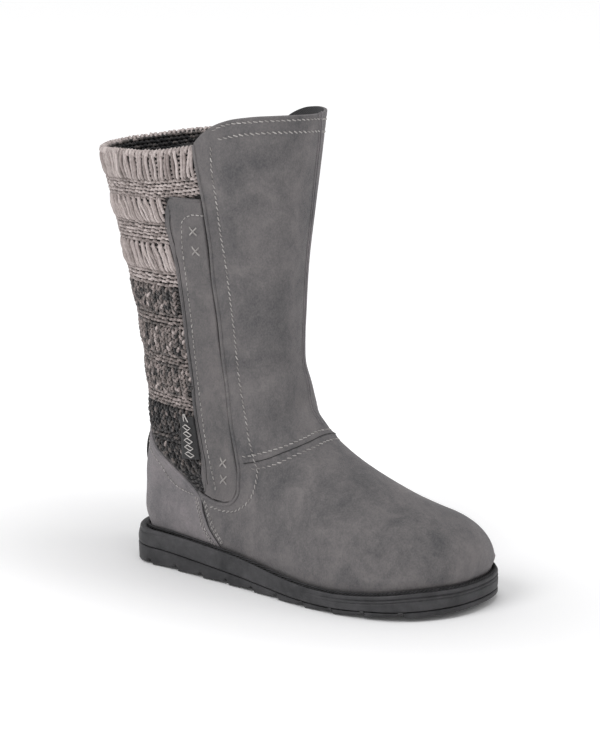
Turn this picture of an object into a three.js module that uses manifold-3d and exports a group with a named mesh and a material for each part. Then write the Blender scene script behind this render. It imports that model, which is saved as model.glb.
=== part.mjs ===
// A mid-calf winter boot for the right foot: a suede upper with a knitted back, on a lugged wedge sole.
// Millimetres. X runs from the heel to the toe, Y to the wearer's left and Z up from the floor.
import * as THREE from "three";
import { mergeVertices } from "three/addons/utils/BufferGeometryUtils.js";
import Module from "manifold-3d";

const wasm = await Module();
wasm.setup();

// ---- Driving dimensions ----
const UPPER_WALL = 2.2; // suede with its lining
const KNIT_PROUD = 2.4; // the knit stands this far outside the suede
const OVERLAY = 1.6; // leather of the counter and the strap
const GAP = 0.3; // between touching pieces
const LATERAL = -1; // the outer side of a right boot is its right side
const MEDIAL = 1;

// The boot from the side: where its back and its front are, at heights above the feather line,
// which is the edge where the upper meets the sole.
const SIDE_LINES = [
  { height: 0, back: 8.5, front: 267 },
  { height: 10, back: 8.5, front: 269 },
  { height: 20, back: 10, front: 267.5 },
  { height: 30, back: 10.5, front: 259 },
  { height: 40, back: 10.5, front: 241 },
  { height: 52, back: 12, front: 205.5 },
  { height: 66, back: 14, front: 169 },
  { height: 80, back: 13.5, front: 146.5 },
  { height: 95, back: 11, front: 134 },
  { height: 112, back: 8.5, front: 127.5 },
  { height: 132, back: 5.5, front: 124.5 },
  { height: 158, back: 0, front: 125 },
  { height: 190, back: -9, front: 127 },
  { height: 230, back: -20, front: 132.5 },
  { height: 270, back: -30, front: 138.5 },
  { height: 310, back: -36, front: 144.5 },
];
// The feather line from above: half widths on each side of a centre line that swings to the big toe.
const PLAN = [
  { x: 0, medial: 33, lateral: 35, centre: 0 },
  { x: 20, medial: 34, lateral: 35, centre: 0 },
  { x: 50, medial: 35, lateral: 37.5, centre: 0 },
  { x: 80, medial: 34.5, lateral: 41, centre: 0 },
  { x: 110, medial: 36, lateral: 44, centre: 0 },
  { x: 140, medial: 38, lateral: 48.5, centre: 0 },
  { x: 165, medial: 41, lateral: 53, centre: 0.3 },
  { x: 190, medial: 43.5, lateral: 55, centre: 1 },
  { x: 212, medial: 46, lateral: 54.5, centre: 2.2 },
  { x: 235, medial: 48.5, lateral: 50.5, centre: 4.5 },
  { x: 260, medial: 45.5, lateral: 45, centre: 9 },
];
// Half widths of the shaft at heights above the feather line.
const SHAFT = [
  { height: 60, medial: 36.5, lateral: 37 },
  { height: 100, medial: 40, lateral: 39.5 },
  { height: 140, medial: 43, lateral: 41.5 },
  { height: 200, medial: 47, lateral: 45 },
  { height: 260, medial: 49.5, lateral: 52 },
  { height: 310, medial: 49.5, lateral: 54.5 },
];
// The sole from the side: heights above the floor of its underside, its inner joint and its top.
const SOLE_LINES = [
  { x: -4, under: 2.5, joint: 12.5, top: 22.5 },
  { x: 14, under: 0, joint: 12.4, top: 24 },
  { x: 60, under: 0, joint: 11, top: 24.4 },
  { x: 110, under: 0, joint: 7.8, top: 21.3 },
  { x: 150, under: 0, joint: 4.9, top: 16.4 },
  { x: 190, under: 0, joint: 3.6, top: 14.2 },
  { x: 225, under: 2.4, joint: 5.8, top: 17 },
  { x: 250, under: 4.2, joint: 7.8, top: 20.8 },
  { x: 266, under: 5.8, joint: 9.2, top: 21.5 },
];
// The collar's height above the feather line, by degrees round from the back on either side.
const SUEDE_COLLAR = [
  { turn: 0, height: 268 },
  { turn: 100, height: 270 },
  { turn: 106, height: 275 },
  { turn: 110, height: 283 },
  { turn: 115, height: 289 },
  { turn: 122, height: 293.5 },
  { turn: 134, height: 297 },
  { turn: 150, height: 298 },
  { turn: 180, height: 298 },
];
const KNIT_COLLAR = [
  { turn: 0, height: 262 },
  { turn: 45, height: 265.5 },
  { turn: 75, height: 270 },
  { turn: 112, height: 279.5 },
];
// The back edge of the suede front panel.
const PANEL_EDGE = [
  { height: 85, turn: 111 },
  { height: 97, turn: 116.5 },
  { height: 125, turn: 118 },
  { height: 161, turn: 116 },
  { height: 208, turn: 114 },
  { height: 241, turn: 111.5 },
  { height: 280, turn: 107.5 },
];
// The lower edge of the knit: it dips in a V on each side and rises again along the front panel.
const KNIT_HEM = [
  { turn: 0, height: 84 },
  { turn: 18, height: 79 },
  { turn: 35, height: 67 },
  { turn: 49, height: 54.5 },
  { turn: 56, height: 46.5 },
  { turn: 62, height: 37 },
  { turn: 70, height: 33.5 },
  { turn: 79, height: 38.5 },
  { turn: 90, height: 51 },
  { turn: 100, height: 62.5 },
  { turn: 107, height: 73.5 },
  { turn: 117, height: 97 },
  { turn: 124, height: 118 },
];
// Half of the heel counter, by height.
const COUNTER = [
  { height: 0, turn: 69.5 },
  { height: 5, turn: 67.5 },
  { height: 12, turn: 64.5 },
  { height: 22, turn: 62 },
  { height: 36, turn: 61 },
  { height: 45, turn: 56 },
  { height: 53, turn: 49 },
  { height: 65.5, turn: 34.5 },
  { height: 74.5, turn: 20.5 },
  { height: 80.5, turn: 7 },
];
// The strap on the outer side, from its rounded foot to its top.
const STRAP = [
  { height: 34.5, from: 68, to: 74 },
  { height: 36, from: 64, to: 77.5 },
  { height: 40, from: 62.5, to: 81 },
  { height: 62, from: 71.5, to: 98.5 },
  { height: 73, from: 75.5, to: 106 },
  { height: 90, from: 81, to: 113.5 },
  { height: 106, from: 85.5, to: 116.5 },
  { height: 147, from: 88, to: 116 },
  { height: 188, from: 88.5, to: 113.5 },
  { height: 232, from: 88.5, to: 111 },
  { height: 239, from: 92, to: 110.5 },
];
const TAG = { low: 57, high: 87, width: 11.5, thickness: 0.8 };
const HEEL_TAB = { low: 38, high: 70, turn: 9, thickness: 1.6, arch: 3.6, fullness: 0.7 };
const INSOLE_THICKNESS = 4;
const INSOLE_IN = 6; // its edge lies this far inside the feather line
const WELT = { inside: 1, outside: 2.7, height: 2.6 };
const LUG = { pitch: 23.5, first: 30, count: 10, depth: 2, mouth: 5, root: 2.4, below: 1 };

const HEEL_ROUND = 24; // how far the heel's round end reaches along X
const TOE_ROUND_START = 229; // where the toe's round end starts
const TOE_BLUNTNESS = 2.35;
const ARCH_BLUNTNESS = 2.2;
const SHAFT_BLUNTNESS = 2.15;
const TOE_BULGE = 10; // the height where the toe reaches farthest
const RIDGE_END = 125; // above this height the front line is the shin, not the instep
const RIDGE_SLOPE = 6; // how steeply the ridge would go on rising behind the shin
const FOOT_TO_SHAFT = [55, 120]; // heights between which foot sections turn into shaft sections
const LEVEL_ABOVE = 70; // height above which sections are level, whatever the sole's slope
const FEATHER_ROLL = 2; // how far the upper tucks in at the feather line
const ROLL_HEIGHT = 14;
const SOLE_MARGIN = 2.9; // the sole's side stands this far outside the feather line
const OVERLAY_SEAT = 0.85; // an overlay's underside stands this far off the skin
const STRAP_FOOT = 42; // above this height the strap's foot is no longer round
const STRAP_MARGIN = 1.1; // the suede under the strap stands out behind it by this many degrees
const KNIT_INSET = 0.25; // the knit is this much smaller than its opening all round
const KNIT_LOWEST = 28; // no knit below this height
const KNIT_FARTHEST = 124; // nor past this turn, on either side
const STRAP_COVER = 135; // the suede under the strap reaches at least to this turn
const STRAP_TOP_MARGIN = 1; // the suede under the strap stands out above it by this much
const TAG_TO_STRAP = 1; // between the tag and the strap's edge, in degrees
const CUT_REACH = 9; // cutting forms reach this far to both sides of the skin
const CUT_PAST = 10; // and this far beyond the edges they cut
const SOLE_SPAN = 160; // wider than any sole
const RING_STEPS = 56;
const STEP = 1e-3; // for slopes along the skin
const COLLAR_BLEND = 200; // above this height the rings tilt towards the collar
const LEVELS = [
  0, 5, 10, 16, 22, 28, 34, 40, 47, 55, 64, 74, 85, 97, 111, 128, 150, 175, 205, 240, 275, 310,
];

// ---- Curves through the tables ----
function curve(rows, along, column) {
  const knots = rows.map((row) => [row[along], row[column]]);
  const secant = (i) => (knots[i + 1][1] - knots[i][1]) / (knots[i + 1][0] - knots[i][0]);
  const slopes = knots.map((knot, i) => {
    if (i === 0) return secant(0);
    if (i === knots.length - 1) return secant(i - 1);
    const before = knot[0] - knots[i - 1][0];
    const after = knots[i + 1][0] - knot[0];
    return (after * secant(i - 1) + before * secant(i)) / (before + after);
  });
  return (at) => {
    const t = THREE.MathUtils.clamp(at, knots[0][0], knots.at(-1)[0]);
    const found = knots.findLastIndex((knot, k) => knot[0] <= t && k < knots.length - 1);
    const i = Math.max(0, found);
    const span = knots[i + 1][0] - knots[i][0];
    const s = (t - knots[i][0]) / span;
    const rise = knots[i + 1][1] - knots[i][1];
    const a = slopes[i] * span - rise;
    const b = rise - slopes[i + 1] * span;
    return knots[i][1] + s * rise + s * (1 - s) * (a * (1 - s) + b * s);
  };
}
const backLine = curve(SIDE_LINES, "height", "back");
const frontLine = curve(SIDE_LINES, "height", "front");
const centreLine = curve(PLAN, "x", "centre");
const planWidth = { [MEDIAL]: curve(PLAN, "x", "medial"), [LATERAL]: curve(PLAN, "x", "lateral") };
const shaftWidth = {
  [MEDIAL]: curve(SHAFT, "height", "medial"),
  [LATERAL]: curve(SHAFT, "height", "lateral"),
};
const soleUnderside = curve(SOLE_LINES, "x", "under");
const soleUnder = (x) => Math.max(0, soleUnderside(x));
const soleJoint = curve(SOLE_LINES, "x", "joint");
const soleTop = curve(SOLE_LINES, "x", "top");
const suedeCollar = curve(SUEDE_COLLAR, "turn", "height");
const knitCollar = curve(KNIT_COLLAR, "turn", "height");
const panelEdge = curve(PANEL_EDGE, "height", "turn");
const knitHem = curve(KNIT_HEM, "turn", "height");
const counterEdge = curve(COUNTER, "height", "turn");
const strapFrom = curve(STRAP, "height", "from");
const strapTo = curve(STRAP, "height", "to");

// The height of the ridge of the instep over x, found where the front line passes x.
function ridgeHeight(x) {
  const behind = frontLine(RIDGE_END) - x;
  if (behind >= 0) return RIDGE_END + RIDGE_SLOPE * behind;
  let low = TOE_BULGE;
  let high = RIDGE_END;
  for (let i = 0; i < 40; i++) {
    const middle = (low + high) / 2;
    if (frontLine(middle) > x) low = middle;
    else high = middle;
  }
  return low;
}

// A round end: 0 at t = 0, 1 from t = 1 on.
function roundEnd(t, bluntness = 2) {
  const away = 1 - THREE.MathUtils.clamp(t, 0, 1);
  return (1 - away ** bluntness) ** (1 / bluntness);
}

function halfWidth(x, height, phi, side) {
  const tip = frontLine(Math.min(height, TOE_BULGE));
  const heel = roundEnd((x - backLine(height)) / HEEL_ROUND);
  const toe = roundEnd((tip - x) / (tip - TOE_ROUND_START), TOE_BLUNTNESS);
  const ridge = height > TOE_BULGE ? ridgeHeight(x) : RIDGE_END;
  const rise = THREE.MathUtils.clamp(height / ridge, 0, 1);
  const roof = (1 - rise ** ARCH_BLUNTNESS) ** (1 / ARCH_BLUNTNESS);
  const foot = planWidth[side](x) * heel * toe * roof;
  const oval = (1 - Math.abs(Math.cos(phi)) ** SHAFT_BLUNTNESS) ** (1 / SHAFT_BLUNTNESS);
  const shaft = shaftWidth[side](height) * oval;
  return THREE.MathUtils.lerp(foot, shaft, THREE.MathUtils.smoothstep(height, ...FOOT_TO_SHAFT));
}

// A point of the upper's outside. Phi is 0 at the back, a quarter turn on the outer side, a half in front.
function skinPoint(phi, height) {
  const side = Math.sin(phi) >= 0 ? LATERAL : MEDIAL;
  const back = backLine(height);
  const x = back + ((frontLine(height) - back) * (1 - Math.cos(phi))) / 2;
  const level = THREE.MathUtils.smoothstep(height, 0, LEVEL_ABOVE);
  const foot = 1 - THREE.MathUtils.smoothstep(height, ...FOOT_TO_SHAFT);
  const y = centreLine(x) * foot + side * halfWidth(x, height, phi, side);
  const z = THREE.MathUtils.lerp(soleTop(x), soleTop(0), level) + height;
  return new THREE.Vector3(x, y, z);
}

function skinNormal(phi, height) {
  const around = skinPoint(phi + STEP, height).sub(skinPoint(phi - STEP, height));
  const low = Math.max(height - STEP, 0);
  const up = skinPoint(phi, height + STEP).sub(skinPoint(phi, low));
  const normal = around.cross(up).normalize();
  normal.z *= THREE.MathUtils.smoothstep(height, 0, ROLL_HEIGHT);
  return normal.normalize();
}

// A point at some distance outside the skin, tucked in above the feather line.
function shellPoint(phi, height, outward) {
  const roll = FEATHER_ROLL * Math.max(0, 1 - height / ROLL_HEIGHT) ** 2;
  return skinPoint(phi, height).addScaledVector(skinNormal(phi, height), outward - roll);
}

// ---- Solids ----
function solid(points, index) {
  const mesh = new wasm.Mesh({
    numProp: 3,
    vertProperties: new Float32Array(points.flatMap((p) => [p.x, p.y, p.z])),
    triVerts: new Uint32Array(index),
  });
  return new wasm.Manifold(mesh);
}

const quad = (a, b, c, d) => [a, b, c, a, c, d];

// The wall of a hollow form: rings of points, each joined to the next and the last to the first.
function wall(rings) {
  const steps = rings[0].length;
  const index = [];
  rings.forEach((ring, r) => {
    const here = r * steps;
    const next = ((r + 1) % rings.length) * steps;
    for (let i = 0; i < steps; i++) {
      const j = (i + 1) % steps;
      index.push(...quad(here + i, here + j, next + j, next + i));
    }
  });
  return solid(rings.flat(), index);
}

// A plate between a lower and an upper outline that are alike on both sides of the X axis.
function plate(lower, upper) {
  const steps = lower.length;
  const index = [];
  for (let i = 0; i < steps; i++) {
    const j = (i + 1) % steps;
    index.push(...quad(i, j, steps + j, steps + i));
  }
  for (let i = 0; i < steps / 2; i++) {
    const far = (steps - i) % steps;
    const before = steps - i - 1;
    if (i + 1 !== before) {
      index.push(i + 1, i, before);
      index.push(steps + i, steps + i + 1, steps + before);
    }
    if (i !== far) {
      index.push(i, far, before);
      index.push(steps + i, steps + before, steps + far);
    }
  }
  return solid([...lower, ...upper], index);
}

// A curved slab that follows the skin between two distances from it. Place gives the turn in degrees
// and the height for shares across and up; the distances may change over the slab.
function slab({ columns, rows, place, inside, outside }) {
  const points = [];
  for (const distance of [outside, inside])
    for (let r = 0; r <= rows; r++)
      for (let c = 0; c <= columns; c++) {
        const [turn, height] = place(c / columns, r / rows);
        points.push(shellPoint(THREE.MathUtils.degToRad(turn), height, distance(r / rows)));
      }
  const width = columns + 1;
  const half = width * (rows + 1);
  const out = (c, r) => r * width + c;
  const index = [];
  for (let r = 0; r < rows; r++)
    for (let c = 0; c < columns; c++) {
      const face = quad(out(c, r), out(c + 1, r), out(c + 1, r + 1), out(c, r + 1));
      index.push(...face, ...face.map((v) => v + half).reverse());
    }
  const rim = (a, b) => index.push(...quad(b, a, a + half, b + half));
  for (let c = 0; c < columns; c++) {
    rim(out(c, 0), out(c + 1, 0));
    rim(out(c + 1, rows), out(c, rows));
  }
  for (let r = 0; r < rows; r++) {
    rim(out(columns, r), out(columns, r + 1));
    rim(out(0, r + 1), out(0, r));
  }
  return solid(points, index);
}

const lerp = THREE.MathUtils.lerp;
const turns = Array.from({ length: RING_STEPS }, (_, i) => (i / RING_STEPS) * 360);
const fromBack = (turn) => Math.min(turn, 360 - turn);

// A ring around the boot; above the blend height it tilts until the last one follows the collar.
function ring(height, outward, collar) {
  const top = LEVELS.at(-1);
  const share = Math.max(0, (height - COLLAR_BLEND) / (top - COLLAR_BLEND));
  return turns.map((turn) => {
    const drop = collar ? share * (top - collar(fromBack(turn))) : 0;
    return shellPoint(THREE.MathUtils.degToRad(turn), height - drop, outward);
  });
}

function shell(inside, outside, collar, lowest = 0) {
  const levels = LEVELS.filter((height) => height >= lowest);
  const outer = levels.map((height) => ring(height, outside, collar));
  const inner = levels.map((height) => ring(height, inside, collar)).reverse();
  return wall([...outer, ...inner]);
}

// The opening behind the shaft that the knit fills, made smaller all round by a margin.
function knitOpening(margin) {
  const reach = { inside: () => -CUT_REACH, outside: () => CUT_REACH };
  const below = slab({
    columns: 44,
    rows: 4,
    place: (across, up) => {
      const turn = lerp(-KNIT_FARTHEST, KNIT_FARTHEST, across);
      return [turn, lerp(KNIT_LOWEST - CUT_PAST, knitHem(Math.abs(turn)) + margin, up)];
    },
    ...reach,
  });
  const front = slab({
    columns: 12,
    rows: 16,
    place: (across, up) => {
      const height = lerp(KNIT_LOWEST - CUT_PAST, LEVELS.at(-1) + CUT_PAST, up);
      const edge = panelEdge(height) - margin;
      return [lerp(edge, 360 - edge, across), height];
    },
    ...reach,
  });
  const underStrap = slab({
    columns: 4,
    rows: 36,
    place: (across, up) => {
      const height = lerp(KNIT_LOWEST - CUT_PAST, STRAP.at(-1).height + STRAP_TOP_MARGIN + margin, up);
      const back = strapFrom(Math.max(height, STRAP_FOOT));
      return [lerp(back - STRAP_MARGIN - margin, STRAP_COVER, across), height];
    },
    inside: () => -CUT_REACH - 1,
    outside: () => CUT_REACH + 1,
  });
  const around = shell(1 - CUT_REACH, CUT_REACH - 1, null, KNIT_LOWEST);
  return around.subtract(below).subtract(front).subtract(underStrap);
}

function outline(margin, height) {
  return turns.map((turn) => {
    const phi = THREE.MathUtils.degToRad(turn);
    const p = skinPoint(phi, 0);
    const along = skinPoint(phi + STEP, 0).sub(skinPoint(phi - STEP, 0)).setZ(0).normalize();
    const x = p.x + along.y * margin;
    return new THREE.Vector3(x, p.y - along.x * margin, height(x));
  });
}

function lugGroove(x) {
  const root = LUG.root / 2;
  const mouth = LUG.mouth / 2;
  const slope = (mouth - root) / LUG.depth;
  const below = mouth + slope * LUG.below;
  const section = new THREE.Shape([
    new THREE.Vector2(-below, -LUG.below),
    new THREE.Vector2(below, -LUG.below),
    new THREE.Vector2(root, LUG.depth),
    new THREE.Vector2(-root, LUG.depth),
  ]);
  const geometry = new THREE.ExtrudeGeometry(section, { depth: SOLE_SPAN, bevelEnabled: false });
  geometry.rotateX(Math.PI / 2).translate(x, SOLE_SPAN / 2, soleUnder(x));
  geometry.deleteAttribute("normal");
  geometry.deleteAttribute("uv");
  const merged = mergeVertices(geometry);
  const index = Array.from(merged.index.array);
  const position = merged.attributes.position;
  const points = Array.from({ length: position.count }, (_, i) =>
    new THREE.Vector3().fromBufferAttribute(position, i),
  );
  return solid(points, index);
}

function makeOutsole() {
  let made = plate(outline(SOLE_MARGIN, soleUnder), outline(SOLE_MARGIN, soleJoint));
  for (let i = 0; i < LUG.count; i++) made = made.subtract(lugGroove(LUG.first + i * LUG.pitch));
  return made;
}
const makeMidsole = () =>
  plate(
    outline(SOLE_MARGIN, (x) => soleJoint(x) + GAP),
    outline(SOLE_MARGIN, (x) => soleTop(x) - 2 * GAP),
  );
const makeWelt = () =>
  wall([
    outline(WELT.outside, (x) => soleTop(x)),
    outline(WELT.outside, (x) => soleTop(x) + WELT.height),
    outline(WELT.inside, (x) => soleTop(x) + WELT.height),
    outline(WELT.inside, (x) => soleTop(x)),
  ]);
const makeInsole = () =>
  plate(
    outline(-INSOLE_IN, (x) => soleTop(x)),
    outline(-INSOLE_IN, (x) => soleTop(x) + INSOLE_THICKNESS),
  );
const makeUpper = () => shell(-UPPER_WALL, 0, suedeCollar).subtract(knitOpening(-GAP / 2));
const makeKnit = () =>
  shell(-UPPER_WALL, KNIT_PROUD, knitCollar, KNIT_LOWEST).intersect(knitOpening(KNIT_INSET));

// A layer over the skin, cut between two larger forms by a region of turns and heights.
function overlay(inside, thickness, { columns, rows, low, high, from, to }) {
  const region = slab({
    columns,
    rows,
    place: (across, up) => {
      const height = lerp(low, high, up);
      return [lerp(from(height), to(height), across), height];
    },
    inside: () => -CUT_REACH,
    outside: () => CUT_REACH,
  });
  return shell(inside, inside + thickness, null).intersect(region);
}
const makeCounter = () =>
  overlay(OVERLAY_SEAT, OVERLAY, {
    columns: 12,
    rows: 16,
    low: WELT.height + 2 * GAP,
    high: COUNTER.at(-1).height,
    from: (height) => -counterEdge(height),
    to: counterEdge,
  });
const makeStrap = () =>
  overlay(OVERLAY_SEAT, OVERLAY, {
    columns: 2,
    rows: 34,
    low: STRAP[0].height,
    high: STRAP.at(-1).height,
    from: strapFrom,
    to: strapTo,
  });
const makeTag = () =>
  overlay(KNIT_PROUD + GAP, TAG.thickness, {
    columns: 1,
    rows: 4,
    low: TAG.low,
    high: TAG.high,
    from: (height) => strapFrom(height) - TAG.width,
    to: (height) => strapFrom(height) - TAG_TO_STRAP,
  });
const makeHeelTab = () => {
  const seat = OVERLAY_SEAT + OVERLAY + 2 * GAP;
  const proud = (up) => seat + HEEL_TAB.arch * Math.sin(Math.PI * up) ** HEEL_TAB.fullness;
  return slab({
    columns: 3,
    rows: 10,
    place: (across, up) => [
      lerp(-HEEL_TAB.turn, HEEL_TAB.turn, across),
      lerp(HEEL_TAB.low, HEEL_TAB.high, up),
    ],
    inside: proud,
    outside: (up) => proud(up) + HEEL_TAB.thickness,
  });
};

// ---- The boot ----
const boot = new THREE.Group();
function add(name, made, colour, roughness) {
  const { vertProperties, triVerts } = made.getMesh();
  const geometry = new THREE.BufferGeometry();
  geometry.setAttribute("position", new THREE.BufferAttribute(vertProperties, 3));
  geometry.setIndex(new THREE.BufferAttribute(triVerts, 1));
  geometry.computeVertexNormals();
  const material = new THREE.MeshStandardMaterial({ color: colour, roughness, metalness: 0 });
  const mesh = new THREE.Mesh(geometry, material);
  mesh.name = name;
  boot.add(mesh);
}

const SUEDE = 0x6b686a;
const RUBBER = 0x3a393a;
const WEBBING = 0x17171a;
const LINING = 0x4c4a4c;
const KNIT = 0x9a8f8c;
add("outsole", makeOutsole(), RUBBER, 0.7);
add("midsole", makeMidsole(), RUBBER, 0.7);
add("welt", makeWelt(), RUBBER, 0.65);
add("insole", makeInsole(), LINING, 0.95);
add("upper", makeUpper(), SUEDE, 0.92);
add("knit_back", makeKnit(), KNIT, 0.95);
add("heel_counter", makeCounter(), SUEDE, 0.92);
add("side_strap", makeStrap(), SUEDE, 0.92);
add("side_tag", makeTag(), WEBBING, 0.8);
add("heel_tab", makeHeelTab(), WEBBING, 0.8);

// The origin is on the floor, under the middle of the boot's box.
const middle = new THREE.Box3().setFromObject(boot).getCenter(new THREE.Vector3());
boot.position.set(-middle.x, -middle.y, 0);

export default boot;
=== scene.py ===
import math
import bmesh
import bpy
import numpy as np
from mathutils import Matrix, Vector


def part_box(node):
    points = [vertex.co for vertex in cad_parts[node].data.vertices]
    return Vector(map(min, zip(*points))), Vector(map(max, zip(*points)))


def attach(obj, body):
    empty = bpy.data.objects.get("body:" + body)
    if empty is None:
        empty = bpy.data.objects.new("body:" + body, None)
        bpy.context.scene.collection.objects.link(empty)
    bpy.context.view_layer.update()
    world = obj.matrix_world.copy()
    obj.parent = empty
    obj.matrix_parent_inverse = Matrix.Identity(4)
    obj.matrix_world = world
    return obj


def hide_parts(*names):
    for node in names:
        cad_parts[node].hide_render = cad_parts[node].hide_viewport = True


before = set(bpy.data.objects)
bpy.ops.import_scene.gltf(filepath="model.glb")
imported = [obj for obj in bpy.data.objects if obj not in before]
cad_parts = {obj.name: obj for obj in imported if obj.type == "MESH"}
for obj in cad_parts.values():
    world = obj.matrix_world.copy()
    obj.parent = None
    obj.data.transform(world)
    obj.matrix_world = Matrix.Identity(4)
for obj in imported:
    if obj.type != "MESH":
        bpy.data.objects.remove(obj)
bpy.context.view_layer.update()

SEED = 7
rng = np.random.default_rng(SEED)

# ---- The last and the sole, in millimetres from the heel, at heights above the feather line ----
SIDE = {
    "height": (0, 10, 20, 30, 40, 52, 66, 80, 95, 112, 132, 158, 190, 230, 270, 310),
    "back": (8.5, 8.5, 10, 10.5, 10.5, 12, 14, 13.5, 11, 8.5, 5.5, 0, -9, -20, -30, -36),
    "front": (267, 269, 267.5, 259, 241, 205.5, 169, 146.5, 134, 127.5, 124.5, 125, 127, 132.5, 138.5, 144.5),
}
PLAN = {
    "x": (0, 20, 50, 80, 110, 140, 165, 190, 212, 235, 260),
    "medial": (33, 34, 35, 34.5, 36, 38, 41, 43.5, 46, 48.5, 45.5),
    "lateral": (35, 35, 37.5, 41, 44, 48.5, 53, 55, 54.5, 50.5, 45),
    "centre": (0, 0, 0, 0, 0, 0, 0.3, 1, 2.2, 4.5, 9),
}
SHAFT = {
    "height": (60, 100, 140, 200, 260, 310),
    "medial": (36.5, 40, 43, 47, 49.5, 49.5),
    "lateral": (37, 39.5, 41.5, 45, 52, 54.5),
}
SOLE = {
    "x": (-4, 14, 60, 110, 150, 190, 225, 250, 266),
    "under": (2.5, 0, 0, 0, 0, 0, 1.8, 3.0, 4.2),
    "joint": (12.5, 12.4, 11, 7.8, 4.9, 3.6, 5.3, 6.7, 7.8),
    "top": (22.5, 24, 24.4, 21.3, 16.4, 14.2, 16.6, 19.8, 20.2),
}
HEEL_ROUND, TOE_ROUND_START = 24, 229
TOE_BLUNTNESS, ARCH_BLUNTNESS, SHAFT_BLUNTNESS = 2.35, 2.2, 2.15
TOE_BULGE, RIDGE_END, RIDGE_SLOPE = 10, 125, 6
FOOT_TO_SHAFT, LEVEL_ABOVE = (55, 120), 70
FEATHER_ROLL, ROLL_HEIGHT = 2, 14
SOLE_MARGIN = 2.9  # the sole stands out this far past the feather line
WALL, TURNED_EDGE = 2.2, 0.7
STEP = 1e-2  # for slopes along the skin
# The panel's edge leaves the shared low rows at MEETING; below it the front ends at EDGE_TURN.
MEETING, EDGE_TURN = 97.0, 116.5
FRONT_COLUMNS, HEEL_COLUMNS, LOW_ROWS, HIGH_ROWS = 196, 70, 56, 116
COUNTER_HEIGHT, STRAP_LOW, STRAP_HIGH = 82, 34.5, 240.2
STRAP_FOOT, STRAP_TOP, STRAP_COVER = 42, 238.4, 1.2  # where the knit runs this many degrees under the strap
HEEL_TUCK, ROW_SINK, SEAM_SINK, FOLD_RISE, SHIN_RISE = 2.7, 0.32, 0.25, 0.9, 0.4
WELT_PLIES, WELT_TWIST, WELT_RADIUS = 3, 8.7, 0.85
CLUSTERING = 0.75  # how strongly rows crowd towards a piece's edges
FIBRE_NOISE = 900.0
UPPER_WELD, SOLE_WELD = 0.00015, 0.00005  # in metres


def curve(along, values):
    """A smooth function through a short table."""
    xs, ys = np.array(along, float), np.array(values, float)
    gap = np.diff(xs)
    secant = np.diff(ys) / gap
    slope = np.empty(len(xs))
    slope[0], slope[-1] = secant[0], secant[-1]
    slope[1:-1] = (gap[1:] * secant[:-1] + gap[:-1] * secant[1:]) / (gap[:-1] + gap[1:])

    def value(t):
        t = np.clip(t, xs[0], xs[-1])
        i = np.clip(np.searchsorted(xs, t, side="right") - 1, 0, len(gap) - 1)
        s = (t - xs[i]) / gap[i]
        rise = ys[i + 1] - ys[i]
        a, b = slope[i] * gap[i] - rise, rise - slope[i + 1] * gap[i]
        return ys[i] + s * rise + s * (1 - s) * (a * (1 - s) + b * s)

    return value


def pairs(knots):
    return curve([k[0] for k in knots], [k[1] for k in knots])


def smooth(x, low=0.0, high=1.0):
    t = np.clip((x - low) / (high - low), 0, 1)
    return t * t * (3 - 2 * t)


def bump(distance, width):
    """1 on a line, fading to 0 over its half width."""
    return np.exp(-(distance / width) ** 2)


def round_end(t, bluntness=2.0):
    """A rounded rise from 0 to 1."""
    return (1 - (1 - np.clip(t, 0, 1)) ** bluntness) ** (1 / bluntness)


back_line, front_line = curve(SIDE["height"], SIDE["back"]), curve(SIDE["height"], SIDE["front"])
plan = {name: curve(PLAN["x"], PLAN[name]) for name in ("medial", "lateral", "centre")}
shaft = {name: curve(SHAFT["height"], SHAFT[name]) for name in ("medial", "lateral")}
sole = {name: curve(SOLE["x"], SOLE[name]) for name in ("under", "joint", "top")}
RIDGE_HEIGHTS = np.linspace(TOE_BULGE, RIDGE_END, 1200)
RIDGE_X = front_line(RIDGE_HEIGHTS)


def sole_under(x):
    return np.maximum(0, sole["under"](x))


def ridge(x):
    """The height of the instep's ridge over x."""
    inside = np.interp(-x, -RIDGE_X, RIDGE_HEIGHTS)
    return np.where(x <= RIDGE_X[-1], RIDGE_END + RIDGE_SLOPE * (RIDGE_X[-1] - x), inside)


def skin(turn, height):
    """The upper's outside. Turn is 0 at the back, 90 degrees on the outer side and 180 in front."""
    turn, height = np.broadcast_arrays(np.asarray(turn, float), np.asarray(height, float))
    phi = np.radians(turn)
    outer = np.sin(phi) >= 0
    back, front = back_line(height), front_line(height)
    x = back + (front - back) * (1 - np.cos(phi)) / 2
    tip = front_line(np.minimum(height, TOE_BULGE))
    heel = round_end((x - back) / HEEL_ROUND)
    toe = round_end((tip - x) / (tip - TOE_ROUND_START), TOE_BLUNTNESS)
    crest = np.where(height > TOE_BULGE, ridge(x), RIDGE_END)
    roof = (1 - np.clip(height / crest, 0, 1) ** ARCH_BLUNTNESS) ** (1 / ARCH_BLUNTNESS)
    foot = np.where(outer, plan["lateral"](x), plan["medial"](x)) * heel * toe * roof
    oval = (1 - np.abs(np.cos(phi)) ** SHAFT_BLUNTNESS) ** (1 / SHAFT_BLUNTNESS)
    leg = np.where(outer, shaft["lateral"](height), shaft["medial"](height)) * oval
    share = smooth(height, *FOOT_TO_SHAFT)
    y = plan["centre"](x) * (1 - share) + np.where(outer, -1, 1) * (foot + (leg - foot) * share)
    level = smooth(height, 0, LEVEL_ABOVE)
    z = sole["top"](x) * (1 - level) + sole["top"](0.0) * level + height
    return np.stack([x, y, z], -1)


def unit(v):
    return v / (np.linalg.norm(v, axis=-1, keepdims=True) + 1e-12)


def normal(turn, height):
    around = skin(turn + STEP, height) - skin(turn - STEP, height)
    up = skin(turn, height + STEP) - skin(turn, np.maximum(height - STEP, 0))
    n = unit(np.cross(around, up))
    n[..., 2] *= smooth(height, 0, ROLL_HEIGHT)
    return unit(n)


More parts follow.
